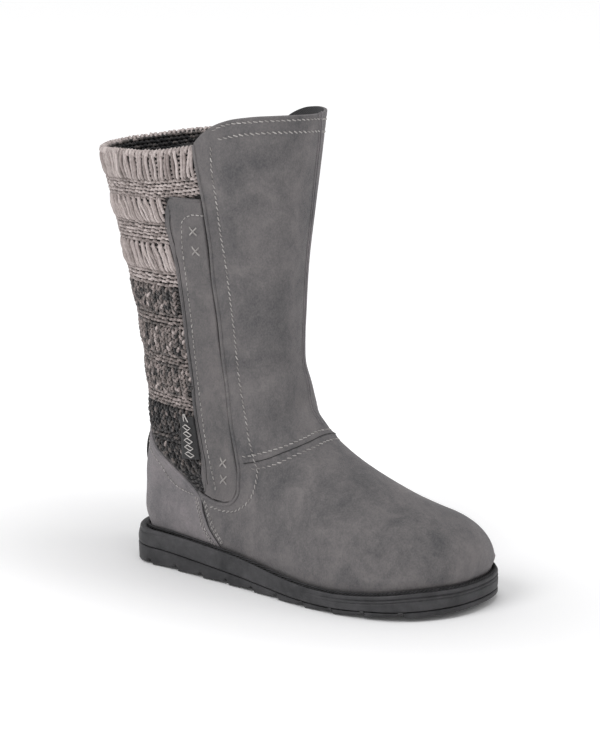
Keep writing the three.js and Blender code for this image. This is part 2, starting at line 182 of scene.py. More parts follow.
def shell(turn, height, out=0.0):
    """A point at a distance outside the skin, tucked in above the feather line."""
    turn, height = np.broadcast_arrays(np.asarray(turn, float), np.asarray(height, float))
    roll = FEATHER_ROLL * np.maximum(0, 1 - height / ROLL_HEIGHT) ** 2
    return skin(turn, height) + normal(turn, height) * np.expand_dims(out - roll, -1)


def outline(turn, margin):
    """The feather line from above, moved out by a margin."""
    margin = np.asarray(margin, float)
    p = skin(turn, 0.0)
    way = skin(turn + STEP, 0.0) - skin(turn - STEP, 0.0)
    way[:, 2] = 0
    way = unit(way)
    return np.stack([p[:, 0] + way[:, 1] * margin, p[:, 1] - way[:, 0] * margin], -1)


EDGE = outline(np.arange(0.25, 360, 0.25), SOLE_MARGIN)
SOLE_CORNER = np.array(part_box("outsole")[0])[:2] * 1000
SHIFT = np.array([*(SOLE_CORNER - EDGE.min(0)), 0.0])


# ---- Lines on the upper: (turn, height) from the back round the outer side ----
def mirrored(knots):
    return [(360 - turn, height) for turn, height in knots]


def lengths(points):
    """How far along its line each point is."""
    return np.concatenate([[0], np.cumsum(np.linalg.norm(np.diff(points, axis=0), axis=1))])


def along(places, run, points):
    return np.stack([np.interp(places, run, points[:, i]) for i in range(3)], -1)


def route(knots, step):
    """Evenly spaced turns and heights on a smooth line through a few knots."""
    turn, height = (np.array(column, float) for column in zip(*knots))
    run = lengths(shell(turn, height))
    share = np.linspace(0, run[-1], max(3, int(run[-1] / step) + 1))
    return curve(run, turn)(share), curve(run, height)(share)


def beside(turn, height, offset):
    """The same line moved sideways by some millimetres: positive is to the right, seen from outside."""
    around = (skin(turn + STEP, height) - skin(turn - STEP, height)) / (2 * STEP)
    up = (skin(turn, height + STEP) - skin(turn, np.maximum(height - STEP, 0))) / (2 * STEP)
    way = unit(np.gradient(shell(turn, height), axis=0))
    side = np.cross(way, normal(turn, height)) * offset
    d_turn = (side * around).sum(-1) / (around ** 2).sum(-1)
    d_height = (side * up).sum(-1) / (up ** 2).sum(-1)
    return turn + d_turn, np.maximum(height + d_height, 0)


def away(points, line):
    """How far each point is from a line of points."""
    best = np.full(points.shape[:-1], 1e9)
    for a, b in zip(line[:-1], line[1:]):
        ab = b - a
        t = np.clip(((points - a) @ ab) / (ab @ ab + 1e-9), 0, 1)
        best = np.minimum(best, np.linalg.norm(points - a - t[..., None] * ab, axis=-1))
    return best


def trace(knots, step=4.0):
    return shell(*route(knots, step))


SUEDE_RIM = pairs([
    (0, 268), (100, 270), (106, 275), (110, 283), (115, 289), (122, 293.5), (134, 297), (150, 298),
    (166, 297.5), (180, 296.3), (196, 295.6), (212, 295), (226, 293.3), (237, 290), (246, 284.5), (254, 276.5),
    (260, 270), (360, 268),
])
KNIT_RIM = pairs([(0, 258.5), (35, 260.5), (60, 265), (85, 268.8), (112, 277.5)])
PANEL_EDGE = pairs([(85, 111), (97, 116.5), (125, 118), (161, 116), (208, 114), (241, 111.5), (280, 107.5)])
KNIT_HEM = pairs([
    (0, 84), (18, 79), (35, 67), (49, 54.5), (56, 46.5), (62, 37), (70, 33.5), (79, 38.5), (90, 51),
    (100, 62.5), (107, 73.5), (117, 97), (124, 118),
])
COUNTER_EDGE = pairs([
    (0, 69.5), (5, 67.5), (12, 64.5), (22, 62), (36, 61), (45, 56), (53, 49), (65.5, 34.5), (74.5, 20.5),
    (80.5, 7), (82, 0.5),
])
STRAP = {
    "height": (34.5, 36, 40, 62, 73, 90, 106, 147, 188, 233, 240),
    "back": (69, 66.5, 66.5, 76.3, 80.8, 85.8, 89.3, 90.6, 90.2, 89.6, 92.8),
    "front": (74, 77.5, 81, 98.5, 106, 113.5, 116.5, 116, 113.5, 111, 110.5),
}
strap_back, strap_front = curve(STRAP["height"], STRAP["back"]), curve(STRAP["height"], STRAP["front"])

WINDOW = [
    (107.5, 277), (108.5, 267), (110.5, 251), (111.7, 241), (113, 224), (114.2, 208), (115, 183), (116.8, 161),
    (118, 131), (117.6, 110), (115, 93), (107.3, 73), (99.8, 62), (90, 50.5), (82, 40.5), (77, 35),
    (71.5, 32.5), (64.5, 34.5),
]
WINDOW_INNER = [
    (107.5, 277), (110.5, 251), (114, 208), (116, 161), (118, 125), (117, 97), (107, 73.5), (100, 62.5),
    (90, 51), (79, 38.5), (70, 33),
]
SIDE_ROW = [
    (116, 278), (116.5, 259), (118, 245), (120, 218), (123, 193), (125, 168), (127.2, 136), (127, 116),
    (125, 89), (115.5, 70), (109.5, 62), (100, 53), (90.5, 44), (82, 35), (75.5, 29), (70, 27.5), (65.5, 28),
]
COLLAR_ROW_HIGH = [
    (115.5, 286.5), (121, 291), (136, 294.5), (160, 295.2), (180, 293.4), (196, 290.5), (214, 287), (232, 283),
    (243, 280.5),
]
COLLAR_ROW_LOW = [
    (118.5, 281.5), (130.5, 285.5), (148, 287.3), (166, 286.5), (180, 285), (196, 282), (214, 278.5),
    (232, 274.5), (241, 272),
]
ANKLE_HIGH = [
    (105.5, 67), (121, 71), (137.5, 75), (163, 80), (180, 81.6), (197, 80), (222.5, 75), (239, 71), (254.5, 67),
]
ANKLE_LOW = [
    (103.5, 60), (117.5, 63.5), (145.5, 71.5), (171, 75.5), (180, 76), (189, 75.5), (214.5, 71.5),
    (242.5, 63.5), (256.5, 60),
]
ANKLE_FOLD = [
    (104.5, 63.5), (119, 67.2), (141, 73.2), (167, 77.8), (180, 78.8), (193, 77.8), (219, 73.2), (241, 67.2),
    (255.5, 63.5),
]
FRONT_SEAM = [(184, 298), (187, 286), (188.5, 260), (191.5, 213), (194, 160), (194, 120), (191, 84)]
COUNTER_ROW = [(2, 74.5), (14, 70), (26, 62.5), (37.5, 54), (42.5, 49), (46, 41), (50.5, 36), (59.5, 33)]
COUNTER_SEAM = [(69.5, 0), (67.5, 5), (64.5, 12), (62.2, 22), (61.8, 33)]
COUNTER_TOP = [(0, 82), (7, 80.5), (20.5, 74.5), (34.5, 65.5), (49, 53), (56, 45), (61, 36)]
STRAP_ROW = [
    (112, 229.5), (104, 229), (99.5, 225), (97.8, 214), (97.6, 184), (98, 150), (97, 112), (94, 92), (84, 65),
    (77, 50), (73, 41),
]

# Soft troughs and ridges of the worn-in suede: a line, its half width and how far it goes in or out.
CREASES = [
    ([(146, 88), (165, 93), (182, 95), (204, 91), (222, 84)], 7.5, -1.15),
    ([(140, 104), (168, 111), (196, 110), (220, 103)], 8.5, 0.75),
    ([(150, 121), (176, 127), (205, 123)], 8.0, -0.6),
    ([(128, 60), (146, 52), (158, 42)], 8.5, -0.75),
    ([(120, 52), (136, 43), (148, 32)], 8.0, 0.5),
    ([(232, 60), (214, 52), (202, 42)], 8.5, -0.75),
    ([(136, 130), (139, 180), (141, 235)], 11.0, -0.9),
    ([(158, 135), (160, 190), (158, 262)], 11.0, 0.6),
    ([(224, 130), (221, 180), (219, 235)], 11.0, -0.8),
    ([(124, 262), (134, 254), (150, 251)], 9.0, -0.45),
    ([(20, 30), (32, 44), (44, 40)], 9.0, -0.4),
    ([(170, 60), (176, 54), (186, 50)], 12.0, 0.5),
]
CREASE_LINES = [(trace(knots, 6), width, depth) for knots, width, depth in CREASES]
SIDE_ROW_INNER = mirrored(SIDE_ROW[:-3])
ROW_LINES = [
    trace(knots) for knots in (SIDE_ROW, SIDE_ROW_INNER, COLLAR_ROW_HIGH, COLLAR_ROW_LOW, ANKLE_HIGH, ANKLE_LOW)
]
SEAM_LINES = [shell(*beside(*route(COUNTER_SEAM, 3.0), offset)) for offset in (2.6, 4.3)]
WINDOW_LINES = [trace(WINDOW, 3), trace(mirrored(WINDOW_INNER), 3)]
COUNTER_TOPS = [trace(knots, 3) for knots in (COUNTER_TOP, mirrored(COUNTER_TOP))]
COUNTER_SEAMS = [trace(knots, 3) for knots in (COUNTER_SEAM, mirrored(COUNTER_SEAM))]
ANKLE_FOLD_LINE, FRONT_SEAM_LINE, STRAP_ROW_LINE = trace(ANKLE_FOLD), trace(FRONT_SEAM), trace(STRAP_ROW)
STRAP_BACK_LINE = trace(list(zip(STRAP["back"], STRAP["height"]))[2:-1], 3)


def creased(points):
    return sum(depth * bump(away(points, line), width) for line, width, depth in CREASE_LINES)


def heel_tuck(turn, height):
    """The heel draws in just above the sole."""
    from_back = np.minimum(turn % 360, 360 - turn % 360)
    return HEEL_TUCK * (1 - smooth(height, 0, 22)) * (1 - smooth(from_back, 28, 72))


def suede_lift(turn, height):
    """How far the suede stands off the skin: lifted at the window, sunk along its stitches, creased."""
    p = shell(turn, height)
    lift = creased(p) - heel_tuck(turn, height)
    for line in ROW_LINES:
        lift = lift - ROW_SINK * bump(away(p, line), 1.3)
    for line in SEAM_LINES:
        lift = lift - SEAM_SINK * bump(away(p, line), 1.0)
    for line, rise in zip(WINDOW_LINES, (1.5, 1.1)):
        lift = lift + rise * (1 - smooth(away(p, line), 0.5, 8.5))
    lift = lift + FOLD_RISE * bump(away(p, ANKLE_FOLD_LINE), 2.0)
    return lift + SHIN_RISE * bump(away(p, FRONT_SEAM_LINE), 2.0)


def counter_lift(turn, height):
    """The heel overlay: padded along its top, grooved beside its edges and thinned to them."""
    p = shell(turn, height)
    top, seam = (np.minimum(*(away(p, line) for line in lines)) for lines in (COUNTER_TOPS, COUNTER_SEAMS))
    body = 1.0 + 0.6 * (1 - smooth(top, 0.5, 8)) * smooth(height, 30, 40) + 0.6 * creased(p)
    groove = 0.35 * bump(top - 2.2, 0.5) + 0.25 * bump(seam - 2.2, 0.6)
    return body * (0.25 + 0.75 * round_end(np.minimum(top, seam) / 1.3)) - groove - heel_tuck(turn, height)


def strap_rim(turn, height):
    """How far each point is from the strap's edge."""
    rows = np.linspace(STRAP_LOW, 239, 120)
    edge = np.concatenate([shell(strap_back(rows), rows), shell(strap_front(rows), rows)[::-1]])
    return away(shell(turn, height), np.concatenate([edge, edge[:1]]))


def strap_lift(turn, height):
    """The strap: a low border along its back edge, then a step up to the padded middle."""
    p = shell(turn, height)
    back, row = away(p, STRAP_BACK_LINE), away(p, STRAP_ROW_LINE)
    rounded = 0.4 + 0.6 * round_end(strap_rim(turn, height) / 1.0)
    padded = 2.15 + 0.75 * smooth(back, 2.5, 3.5) + 0.5 * creased(p)
    return padded * rounded - 0.6 * bump(back - 2.5, 0.45) - 0.3 * bump(row, 0.9)


# ---- Meshes ----
def new_object(name, points, edges=(), faces=()):
    """An object from points in the boot's millimetres."""
    data = bpy.data.meshes.new(name)
    data.from_pydata(((points + SHIFT) / 1000).tolist(), list(edges), list(faces))
    thing = bpy.data.objects.new(name, data)
    bpy.context.scene.collection.objects.link(thing)
    return thing


def smoothed(thing):
    thing.data.polygons.foreach_set("use_smooth", [True] * len(thing.data.polygons))
    thing.data.update()
    return thing


def mesh_object(name, points, faces):
    return smoothed(new_object(name, points, faces=faces.tolist()))


def grid(rows, columns, start=0, closed=False):
    """Quads over a grid of points, facing out when the rows go up and the columns go round."""
    r, c = np.meshgrid(np.arange(rows - 1), np.arange(columns if closed else columns - 1), indexing="ij")
    nxt = (c + 1) % columns
    quads = np.stack([r * columns + c, r * columns + nxt, (r + 1) * columns + nxt, (r + 1) * columns + c], -1)
    return quads.reshape(-1, 4) + start


def rim(rows, columns):
    """The grid's border as a loop of indices."""
    first, last = np.arange(columns), (rows - 1) * columns + np.arange(columns)
    left, right = np.arange(rows) * columns, np.arange(rows) * columns + columns - 1
    return np.concatenate([first, right[1:], last[::-1][1:], left[::-1][1:-1]])


def panel(name, turn, height, outside, inside, material):
    """A closed piece between two distances from the skin over one grid of turns and heights."""
    rows, columns = turn.shape
    count = rows * columns
    points = [shell(turn, height, out).reshape(-1, 3) for out in (outside, inside)]
    border = rim(rows, columns)
    after = np.roll(border, -1)
    faces = [grid(rows, columns), grid(rows, columns, count)[:, ::-1]]
    faces.append(np.stack([after, border, border + count, after + count], -1))
    piece = mesh_object(name, np.concatenate(points), np.concatenate(faces))
    piece.data.materials.append(material)
    return piece


def merged(thing, distance):
    work = bmesh.new()
    work.from_mesh(thing.data)
    bmesh.ops.remove_doubles(work, verts=work.verts, dist=distance)
    work.to_mesh(thing.data)
    work.free()
    return thing


def baked(thing):
    """The object with its modifiers worked out into a plain mesh."""
    bpy.context.view_layer.update()
    graph = bpy.context.evaluated_depsgraph_get()
    data = bpy.data.meshes.new_from_object(thing.evaluated_get(graph), depsgraph=graph)
    thing.modifiers.clear()
    old = thing.data
    thing.data = data
    bpy.data.meshes.remove(old)
    data.name = thing.name
    return thing


def clustered(count):
    """Shares from 0 to 1, closer together at both ends."""
    s = np.linspace(0, 1, count)
    return s + (0.5 * (1 - np.cos(math.pi * s)) - s) * CLUSTERING


# ---- Node trees ----
FLOAT, COLOUR, WHOLE = "NodeSocketFloat", "NodeSocketColor", "NodeSocketInt"
GEOMETRY, MATERIAL = ("Geometry", "NodeSocketGeometry", None), ("Material", "NodeSocketMaterial", None)


def plug(tree, node, values):
    """Links what is a socket, and sets what is a plain value."""
    for name, value in values.items():
        socket = node.inputs[name]
        if isinstance(value, bpy.types.NodeSocket):
            tree.links.new(value, socket)
        else:
            socket.default_value = value


def add_node(tree, kind, inputs=None, **settings):
    node = tree.nodes.new(kind)
    for name, value in settings.items():
        setattr(node, name, value)
    plug(tree, node, inputs or {})
    return node


def maths(tree, operation, *values):
    return add_node(tree, "ShaderNodeMath", dict(enumerate(values)), operation=operation).outputs[0]


def new_tree(name, kind, sockets_in, sockets_out):
    tree = bpy.data.node_groups.new(name, kind)
    for direction, sockets in (("INPUT", sockets_in), ("OUTPUT", sockets_out)):
        for label, socket_type, value in sockets:
            socket = tree.interface.new_socket(label, in_out=direction, socket_type=socket_type)
            if value is not None:
                socket.default_value = value
    return tree, tree.nodes.new("NodeGroupInput").outputs, tree.nodes.new("NodeGroupOutput").inputs


def put_out(tree, result, values):
    for name, socket in values.items():
        tree.links.new(socket, result[name])
    return tree


def closed_off(tree, given, result, made):
    """Every tree of pieces ends in real geometry with its material."""
    real = add_node(tree, "GeometryNodeRealizeInstances", {"Geometry": made})
    values = {"Geometry": real.outputs[0], "Material": given["Material"]}
    return put_out(tree, result, {"Geometry": add_node(tree, "GeometryNodeSetMaterial", values).outputs[0]})


def named(tree, label, **settings):
    return add_node(tree, "GeometryNodeInputNamedAttribute", {"Name": label}, **settings).outputs[0]


def spun_tree():
    """Sweeps a round strand of yarn or thread along every polyline and ruffles it a little."""
    tree, given, result = new_tree(
        "spun_strands", "GeometryNodeTree",
        [GEOMETRY, ("Sides", WHOLE, 6), ("Thickness", FLOAT, 1.0), ("Ruffle", FLOAT, 0.0), ("Seed", WHOLE, SEED),
         MATERIAL],
        [GEOMETRY],
    )
    spline = add_node(tree, "GeometryNodeSplineParameter").outputs

    def marked(label, geometry, value):
        values = {"Geometry": geometry, "Name": label, "Value": value}
        return add_node(tree, "GeometryNodeStoreNamedAttribute", values).outputs[0]

    strands = add_node(tree, "GeometryNodeMeshToCurve", {"Mesh": given["Geometry"]}).outputs[0]
    values = {"Resolution": given["Sides"], "Radius": 1.0}
    circle = add_node(tree, "GeometryNodeCurvePrimitiveCircle", values).outputs[0]
    tube = add_node(tree, "GeometryNodeCurveToMesh", {
        "Curve": marked("along", strands, spline["Length"]),
        "Profile Curve": marked("around", circle, spline["Factor"]),
        "Scale": maths(tree, "MULTIPLY", named(tree, "thick"), given["Thickness"]),
        "Fill Caps": True,
    }).outputs[0]
    fibre = {"W": given["Seed"], "Scale": FIBRE_NOISE, "Detail": 1.0}
    noisy = add_node(tree, "ShaderNodeTexNoise", fibre, noise_dimensions="4D").outputs["Color"]
    centred = add_node(tree, "ShaderNodeVectorMath", {0: noisy, 1: (0.5, 0.5, 0.5)}, operation="SUBTRACT").outputs[0]
    shift = add_node(tree, "ShaderNodeVectorMath", {0: centred, "Scale": given["Ruffle"]}, operation="SCALE").outputs[0]
    moved = add_node(tree, "GeometryNodeSetPosition", {"Geometry": tube, "Offset": shift}).outputs[0]
    soft = add_node(tree, "GeometryNodeSetShadeSmooth", {"Geometry": moved}).outputs[0]
    return closed_off(tree, given, result, soft)


def dots_tree():
    """Sets a small flattened bead on every point, turned to the surface."""
    tree, given, result = new_tree(
        "set_dots", "GeometryNodeTree",
        [GEOMETRY, ("Radius", FLOAT, 0.001), ("Flatness", FLOAT, 0.3), ("Seed", WHOLE, SEED), MATERIAL],
        [GEOMETRY],
    )
    bead = add_node(tree, "GeometryNodeMeshIcoSphere", {"Radius": given["Radius"], "Subdivisions": 1}).outputs[0]
    facing = named(tree, "facing", data_type="FLOAT_VECTOR")
    turned = add_node(tree, "FunctionNodeAlignRotationToVector", {"Vector": facing}, axis="Z").outputs[0]
    chance = add_node(tree, "FunctionNodeRandomValue", {2: 0.8, 3: 1.2, "Seed": given["Seed"]}).outputs[1]
    flat = maths(tree, "MULTIPLY", chance, given["Flatness"])
    size = add_node(tree, "ShaderNodeCombineXYZ", {"X": chance, "Y": chance, "Z": flat}).outputs[0]
    values = {"Points": given["Geometry"], "Instance": bead, "Rotation": turned, "Scale": size}
    return closed_off(tree, given, result, add_node(tree, "GeometryNodeInstanceOnPoints", values).outputs[0])


SPUN, DOTS = spun_tree(), dots_tree()


def worked(thing, tree, **values):
    """Runs one of the trees on an object and keeps the result as a plain mesh."""
    modifier = thing.modifiers.new(tree.name, "NODES")
    modifier.node_group = tree
    for item in tree.interface.items_tree:
        if item.item_type == "SOCKET" and item.in_out == "INPUT" and item.name in values:
            modifier[item.identifier] = values[item.name]
    return smoothed(baked(thing))


def spun(name, strands, material, sides=6, ruffle=0.0):
    """A piece of yarn or thread from strands, each of them points, thicknesses and one tone."""
    edges, thick, tone, first = [], [], [], 0
    for line, widths, shade in strands:
        edges.extend((first + i, first + i + 1) for i in range(len(line) - 1))
        thick.extend((np.broadcast_to(widths, len(line)) / 1000).tolist())
        tone.extend([shade] * len(line))
        first += len(line)
    thing = new_object(name, np.concatenate([line for line, widths, shade in strands]), edges)
    for label, values in (("thick", thick), ("tone", tone)):
        thing.data.attributes.new(label, "FLOAT", "POINT").data.foreach_set("value", values)
    return worked(thing, SPUN, Sides=sides, Thickness=1.0, Ruffle=ruffle / 1000, Seed=SEED, Material=material)


def dots(name, points, facing, material, radius, flatness):
    thing = new_object(name, points)
    thing.data.attributes.new("facing", "FLOAT_VECTOR", "POINT").data.foreach_set("vector", facing.ravel().tolist())
    return worked(thing, DOTS, Radius=radius / 1000, Flatness=flatness, Seed=SEED, Material=material)


# ---- Shader groups and materials ----
SURFACE = [("Color", COLOUR, None), ("Roughness", FLOAT, None), ("Height", FLOAT, None)]


def linear(red, green, blue):
    """A colour as the shader takes it, from the usual 0 to 255."""
    return tuple(((v / 255 + 0.055) / 1.055) ** 2.4 if v > 10 else v / 255 / 12.92 for v in (red, green, blue)) + (1.0,)


def ramp(tree, factor, stops):
    node = add_node(tree, "ShaderNodeValToRGB", {"Fac": factor})
    while len(node.color_ramp.elements) < len(stops):
        node.color_ramp.elements.new(0.5)
    for element, (position, colour) in zip(node.color_ramp.elements, stops):
        element.position, element.color = position, colour
    return node.outputs["Color"]


def noise(tree, place, scale, detail, roughness=0.5, distortion=0.0):
    values = {"Vector": place, "Scale": scale, "Detail": detail, "Roughness": roughness, "Distortion": distortion}
    return add_node(tree, "ShaderNodeTexNoise", values).outputs["Fac"]


def ranged(tree, value, low, high, to_low=0.0, to_high=1.0):
    values = {"Value": value, "From Min": low, "From Max": high, "To Min": to_low, "To Max": to_high}
    return add_node(tree, "ShaderNodeMapRange", values).outputs[0]


def blend(tree, factor, first, second):
    node = add_node(tree, "ShaderNodeMix", {"Factor": factor}, data_type="RGBA")
    for label, colour in (("A", first), ("B", second)):
        tree.links.new(colour, next(s for s in node.inputs if s.name == label and s.type == "RGBA"))
    return next(s for s in node.outputs if s.type == "RGBA")


def own_place(tree):
    return add_node(tree, "ShaderNodeTexCoord").outputs["Object"]


def nap_group():
    """Brushed suede: clouds where the nap lies differently, streaks, and a fine short pile."""
    tree, given, result = new_tree(
        "suede_nap", "ShaderNodeTree",
        [("Dark", COLOUR, (0.1, 0.1, 0.1, 1)), ("Light", COLOUR, (0.2, 0.2, 0.2, 1)), ("Pile", FLOAT, 1.0)],
        SURFACE,
    )
    place = own_place(tree)
    lay = {"Vector": place, "Scale": (1.0, 1.0, 0.75), "Rotation": (0.0, 0.25, 0.0)}
    brushed = add_node(tree, "ShaderNodeMapping", lay).outputs[0]
    clouds = noise(tree, brushed, 34.0, 5.0, 0.62, 0.5)
    patches = noise(tree, brushed, 150.0, 4.0, 0.7, 0.8)
    grain = noise(tree, brushed, 950.0, 3.0, 0.75)
    pile = noise(tree, place, 3600.0, 2.0, 0.7)
    total = maths(tree, "MULTIPLY", clouds, 0.6)
    total = maths(tree, "MULTIPLY_ADD", patches, 0.25, total)
    total = maths(tree, "MULTIPLY_ADD", grain, 0.36, total)
    short = maths(tree, "MULTIPLY", pile, given["Pile"])
    return put_out(tree, result, {
        "Color": blend(tree, ranged(tree, total, 0.45, 0.76), given["Dark"], given["Light"]),
        "Roughness": ranged(tree, patches, 0.0, 1.0, 0.82, 0.98),
        "Height": maths(tree, "MULTIPLY_ADD", grain, 0.8, short),
    })


def twist_group():
    """Plies twisted round a strand, with flecks of lighter and darker fibre; the twist's wave also darkens the colour a
    little in the hollows between plies, as painted shade.
    """
    tree, given, result = new_tree(
        "yarn_twist", "ShaderNodeTree",
        [("Along", FLOAT, 0.0), ("Around", FLOAT, 0.0), ("Twists", FLOAT, 500.0), ("Fleck", FLOAT, 0.2)],
        [("Shade", FLOAT, None), ("Height", FLOAT, None)],
    )
    place = own_place(tree)
    wound = maths(tree, "MULTIPLY_ADD", given["Along"], given["Twists"], given["Around"])
    wave = maths(tree, "SINE", maths(tree, "MULTIPLY", wound, 4 * math.pi))
    fibre = noise(tree, place, 1300.0, 4.0, 0.7)
    fleck = noise(tree, place, 420.0, 2.0, 0.6)
    shade = maths(tree, "MULTIPLY", maths(tree, "SUBTRACT", fleck, 0.5), given["Fleck"])
    # Painted shade: the wave darkens the colour in the hollows between the plies.
    grooves = maths(tree, "MULTIPLY_ADD", wave, 0.045, shade)
    return put_out(tree, result, {
        "Shade": maths(tree, "MULTIPLY_ADD", maths(tree, "SUBTRACT", fibre, 0.5), 0.35, grooves),
        "Height": maths(tree, "MULTIPLY_ADD", wave, 0.35, fibre),
    })


def dust_group():
    """Uneven dusty sheen and small scuffs, as on moulded rubber."""
    tree, given, result = new_tree(
        "rubber_scuff", "ShaderNodeTree",
        [("Dark", COLOUR, (0.03, 0.03, 0.03, 1)), ("Dusty", COLOUR, (0.08, 0.08, 0.08, 1)), ("Scale", FLOAT, 60.0)],
        SURFACE,
    )
    place = own_place(tree)
    soft = noise(tree, place, given["Scale"], 5.0, 0.65)
    grit = noise(tree, place, 2200.0, 2.0)
    share = ranged(tree, maths(tree, "MULTIPLY_ADD", grit, 0.3, soft), 0.45, 0.95)
    return put_out(tree, result, {
        "Color": blend(tree, share, given["Dark"], given["Dusty"]),
        "Roughness": ranged(tree, soft, 0.0, 1.0, 0.42, 0.68),
        "Height": grit,
    })


NAP, TWIST, SCUFF = nap_group(), twist_group(), dust_group()


def new_material(name):
    material = bpy.data.materials.new(name)
    material.use_nodes = True
    return material, material.node_tree, material.node_tree.nodes["Principled BSDF"]


def relief(tree, height, strength, distance):
    values = {"Height": height, "Strength": strength, "Distance": distance}
    return add_node(tree, "ShaderNodeBump", values).outputs["Normal"]


def suede(name, dark, light, sheen):
    material, tree, shader = new_material(name)
    nap = add_node(tree, "ShaderNodeGroup", {"Dark": linear(*dark), "Light": linear(*light)}, node_tree=NAP).outputs
    plug(tree, shader, {
        "Base Color": nap["Color"], "Roughness": nap["Roughness"],
        "Normal": relief(tree, nap["Height"], 0.55, 0.0004),
        "Sheen Weight": sheen, "Sheen Roughness": 0.45, "Sheen Tint": linear(225, 220, 222),
        "Specular IOR Level": 0.15,
    })
    return material


YARN_TONES = [
    (0.0, linear(34, 34, 36)), (0.22, linear(66, 64, 64)), (0.45, linear(112, 104, 101)),
    (0.68, linear(150, 139, 136)), (1.0, linear(202, 191, 188)),
]
THREAD_TONES = [(0.0, linear(70, 68, 68)), (0.5, linear(140, 136, 134)), (1.0, linear(206, 202, 199))]


def yarn(name, tones, twists, fleck, strength=0.7):
    """Spun fibre: each strand's own tone, with the twist's grooves (as bump and as painted shade) and flecks on it."""
    material, tree, shader = new_material(name)
    tone, along, around = (
        add_node(tree, "ShaderNodeAttribute", attribute_name=label).outputs["Fac"]
        for label in ("tone", "along", "around")
    )
    values = {"Along": along, "Around": around, "Twists": twists, "Fleck": fleck}
    twist = add_node(tree, "ShaderNodeGroup", values, node_tree=TWIST).outputs
    plug(tree, shader, {
        "Base Color": ramp(tree, maths(tree, "ADD", tone, twist["Shade"]), tones),
        "Normal": relief(tree, twist["Height"], strength, 0.0003),
        "Roughness": 0.95, "Sheen Weight": 0.25, "Sheen Roughness": 0.5, "Specular IOR Level": 0.1,
    })
    return material


def rubber(name, dark, dusty, scale, coarse=0.25):
    material, tree, shader = new_material(name)
    values = {"Dark": linear(*dark), "Dusty": linear(*dusty), "Scale": scale}
    scuff = add_node(tree, "ShaderNodeGroup", values, node_tree=SCUFF).outputs
    plug(tree, shader, {
        "Base Color": scuff["Color"], "Roughness": scuff["Roughness"],
        "Normal": relief(tree, scuff["Height"], coarse, 0.0002), "Specular IOR Level": 0.35,
    })
    return material


def cloth(name, dark, light, pitch, twill=1.0, rough=0.9):
    """A close woven or knitted cloth, from two crossing waves."""
    material, tree, shader = new_material(name)
    place = own_place(tree)
    waves = []
    for direction, angle, scale in (("X", 0.0, pitch), ("Z", 0.35, pitch * twill)):
        turned = add_node(tree, "ShaderNodeMapping", {"Vector": place, "Rotation": (angle, 0.5, angle)}).outputs[0]
        values = {"Vector": turned, "Scale": scale, "Distortion": 0.6, "Detail": 1.0}
        waves.append(add_node(tree, "ShaderNodeTexWave", values, bands_direction=direction).outputs["Fac"])
    woven = maths(tree, "MULTIPLY", *waves)
    both = maths(tree, "MULTIPLY_ADD", noise(tree, place, 700.0, 3.0), 0.6, woven)
    plug(tree, shader, {
        "Base Color": ramp(tree, both, [(0.15, linear(*dark)), (1.0, linear(*light))]),
        "Normal": relief(tree, both, 0.6, 0.0004), "Roughness": rough, "Sheen Weight": 0.15,
    })
    return material


SUEDE = suede("grey_suede", (79, 79, 81), (121, 117, 117), 0.3)
SUEDE_STRAP = suede("strap_suede", (82, 82, 83), (121, 116, 116), 0.2)
# A lighter copy of the grey suede, for the heel counter and the ridges beside the shin: painted light on those parts.
LIT_SUEDE = suede("counter_suede_lit", (94, 94, 96), (139, 133, 135), 0.3)
SOFT_YARN = yarn("pale_yarn", YARN_TONES, 520.0, 0.45)
MARL_YARN = yarn("marl_yarn", YARN_TONES, 300.0, 1.0)
DARK_YARN = yarn("charcoal_yarn", YARN_TONES, 300.0, 0.9)
THREAD = yarn("sewing_thread", THREAD_TONES, 1500.0, 0.2, 0.4)
RUBBER = rubber("sole_rubber", (36, 36, 38), (76, 75, 77), 55.0)
MIDSOLE_RUBBER = rubber("midsole_rubber", (40, 40, 42), (80, 79, 81), 70.0, 0.35)
WELT_RUBBER = rubber("welt_rubber", (24, 24, 25), (60, 59, 61), 160.0, 0.5)
LINING = cloth("knitted_lining", (26, 26, 28), (74, 73, 76), 260.0)
FOOTBED = cloth("footbed_cloth", (52, 50, 52), (96, 93, 95), 180.0)
WEBBING = cloth("black_webbing", (8, 8, 9), (36, 36, 38), 420.0, 1.6, 0.7)
# Near-black paint for the needle holes and for the lines in the ankle's fold, beside the heel seam and in the strap's
# step: painted shade in those hollows.
HOLE_AND_SEAM_SHADE = rubber("painted_hole_and_seam_shade", (22, 21, 22), (34, 33, 34), 300.0)
GROUND = cloth("knit_ground", (22, 21, 22), (58, 54, 54), 300.0)


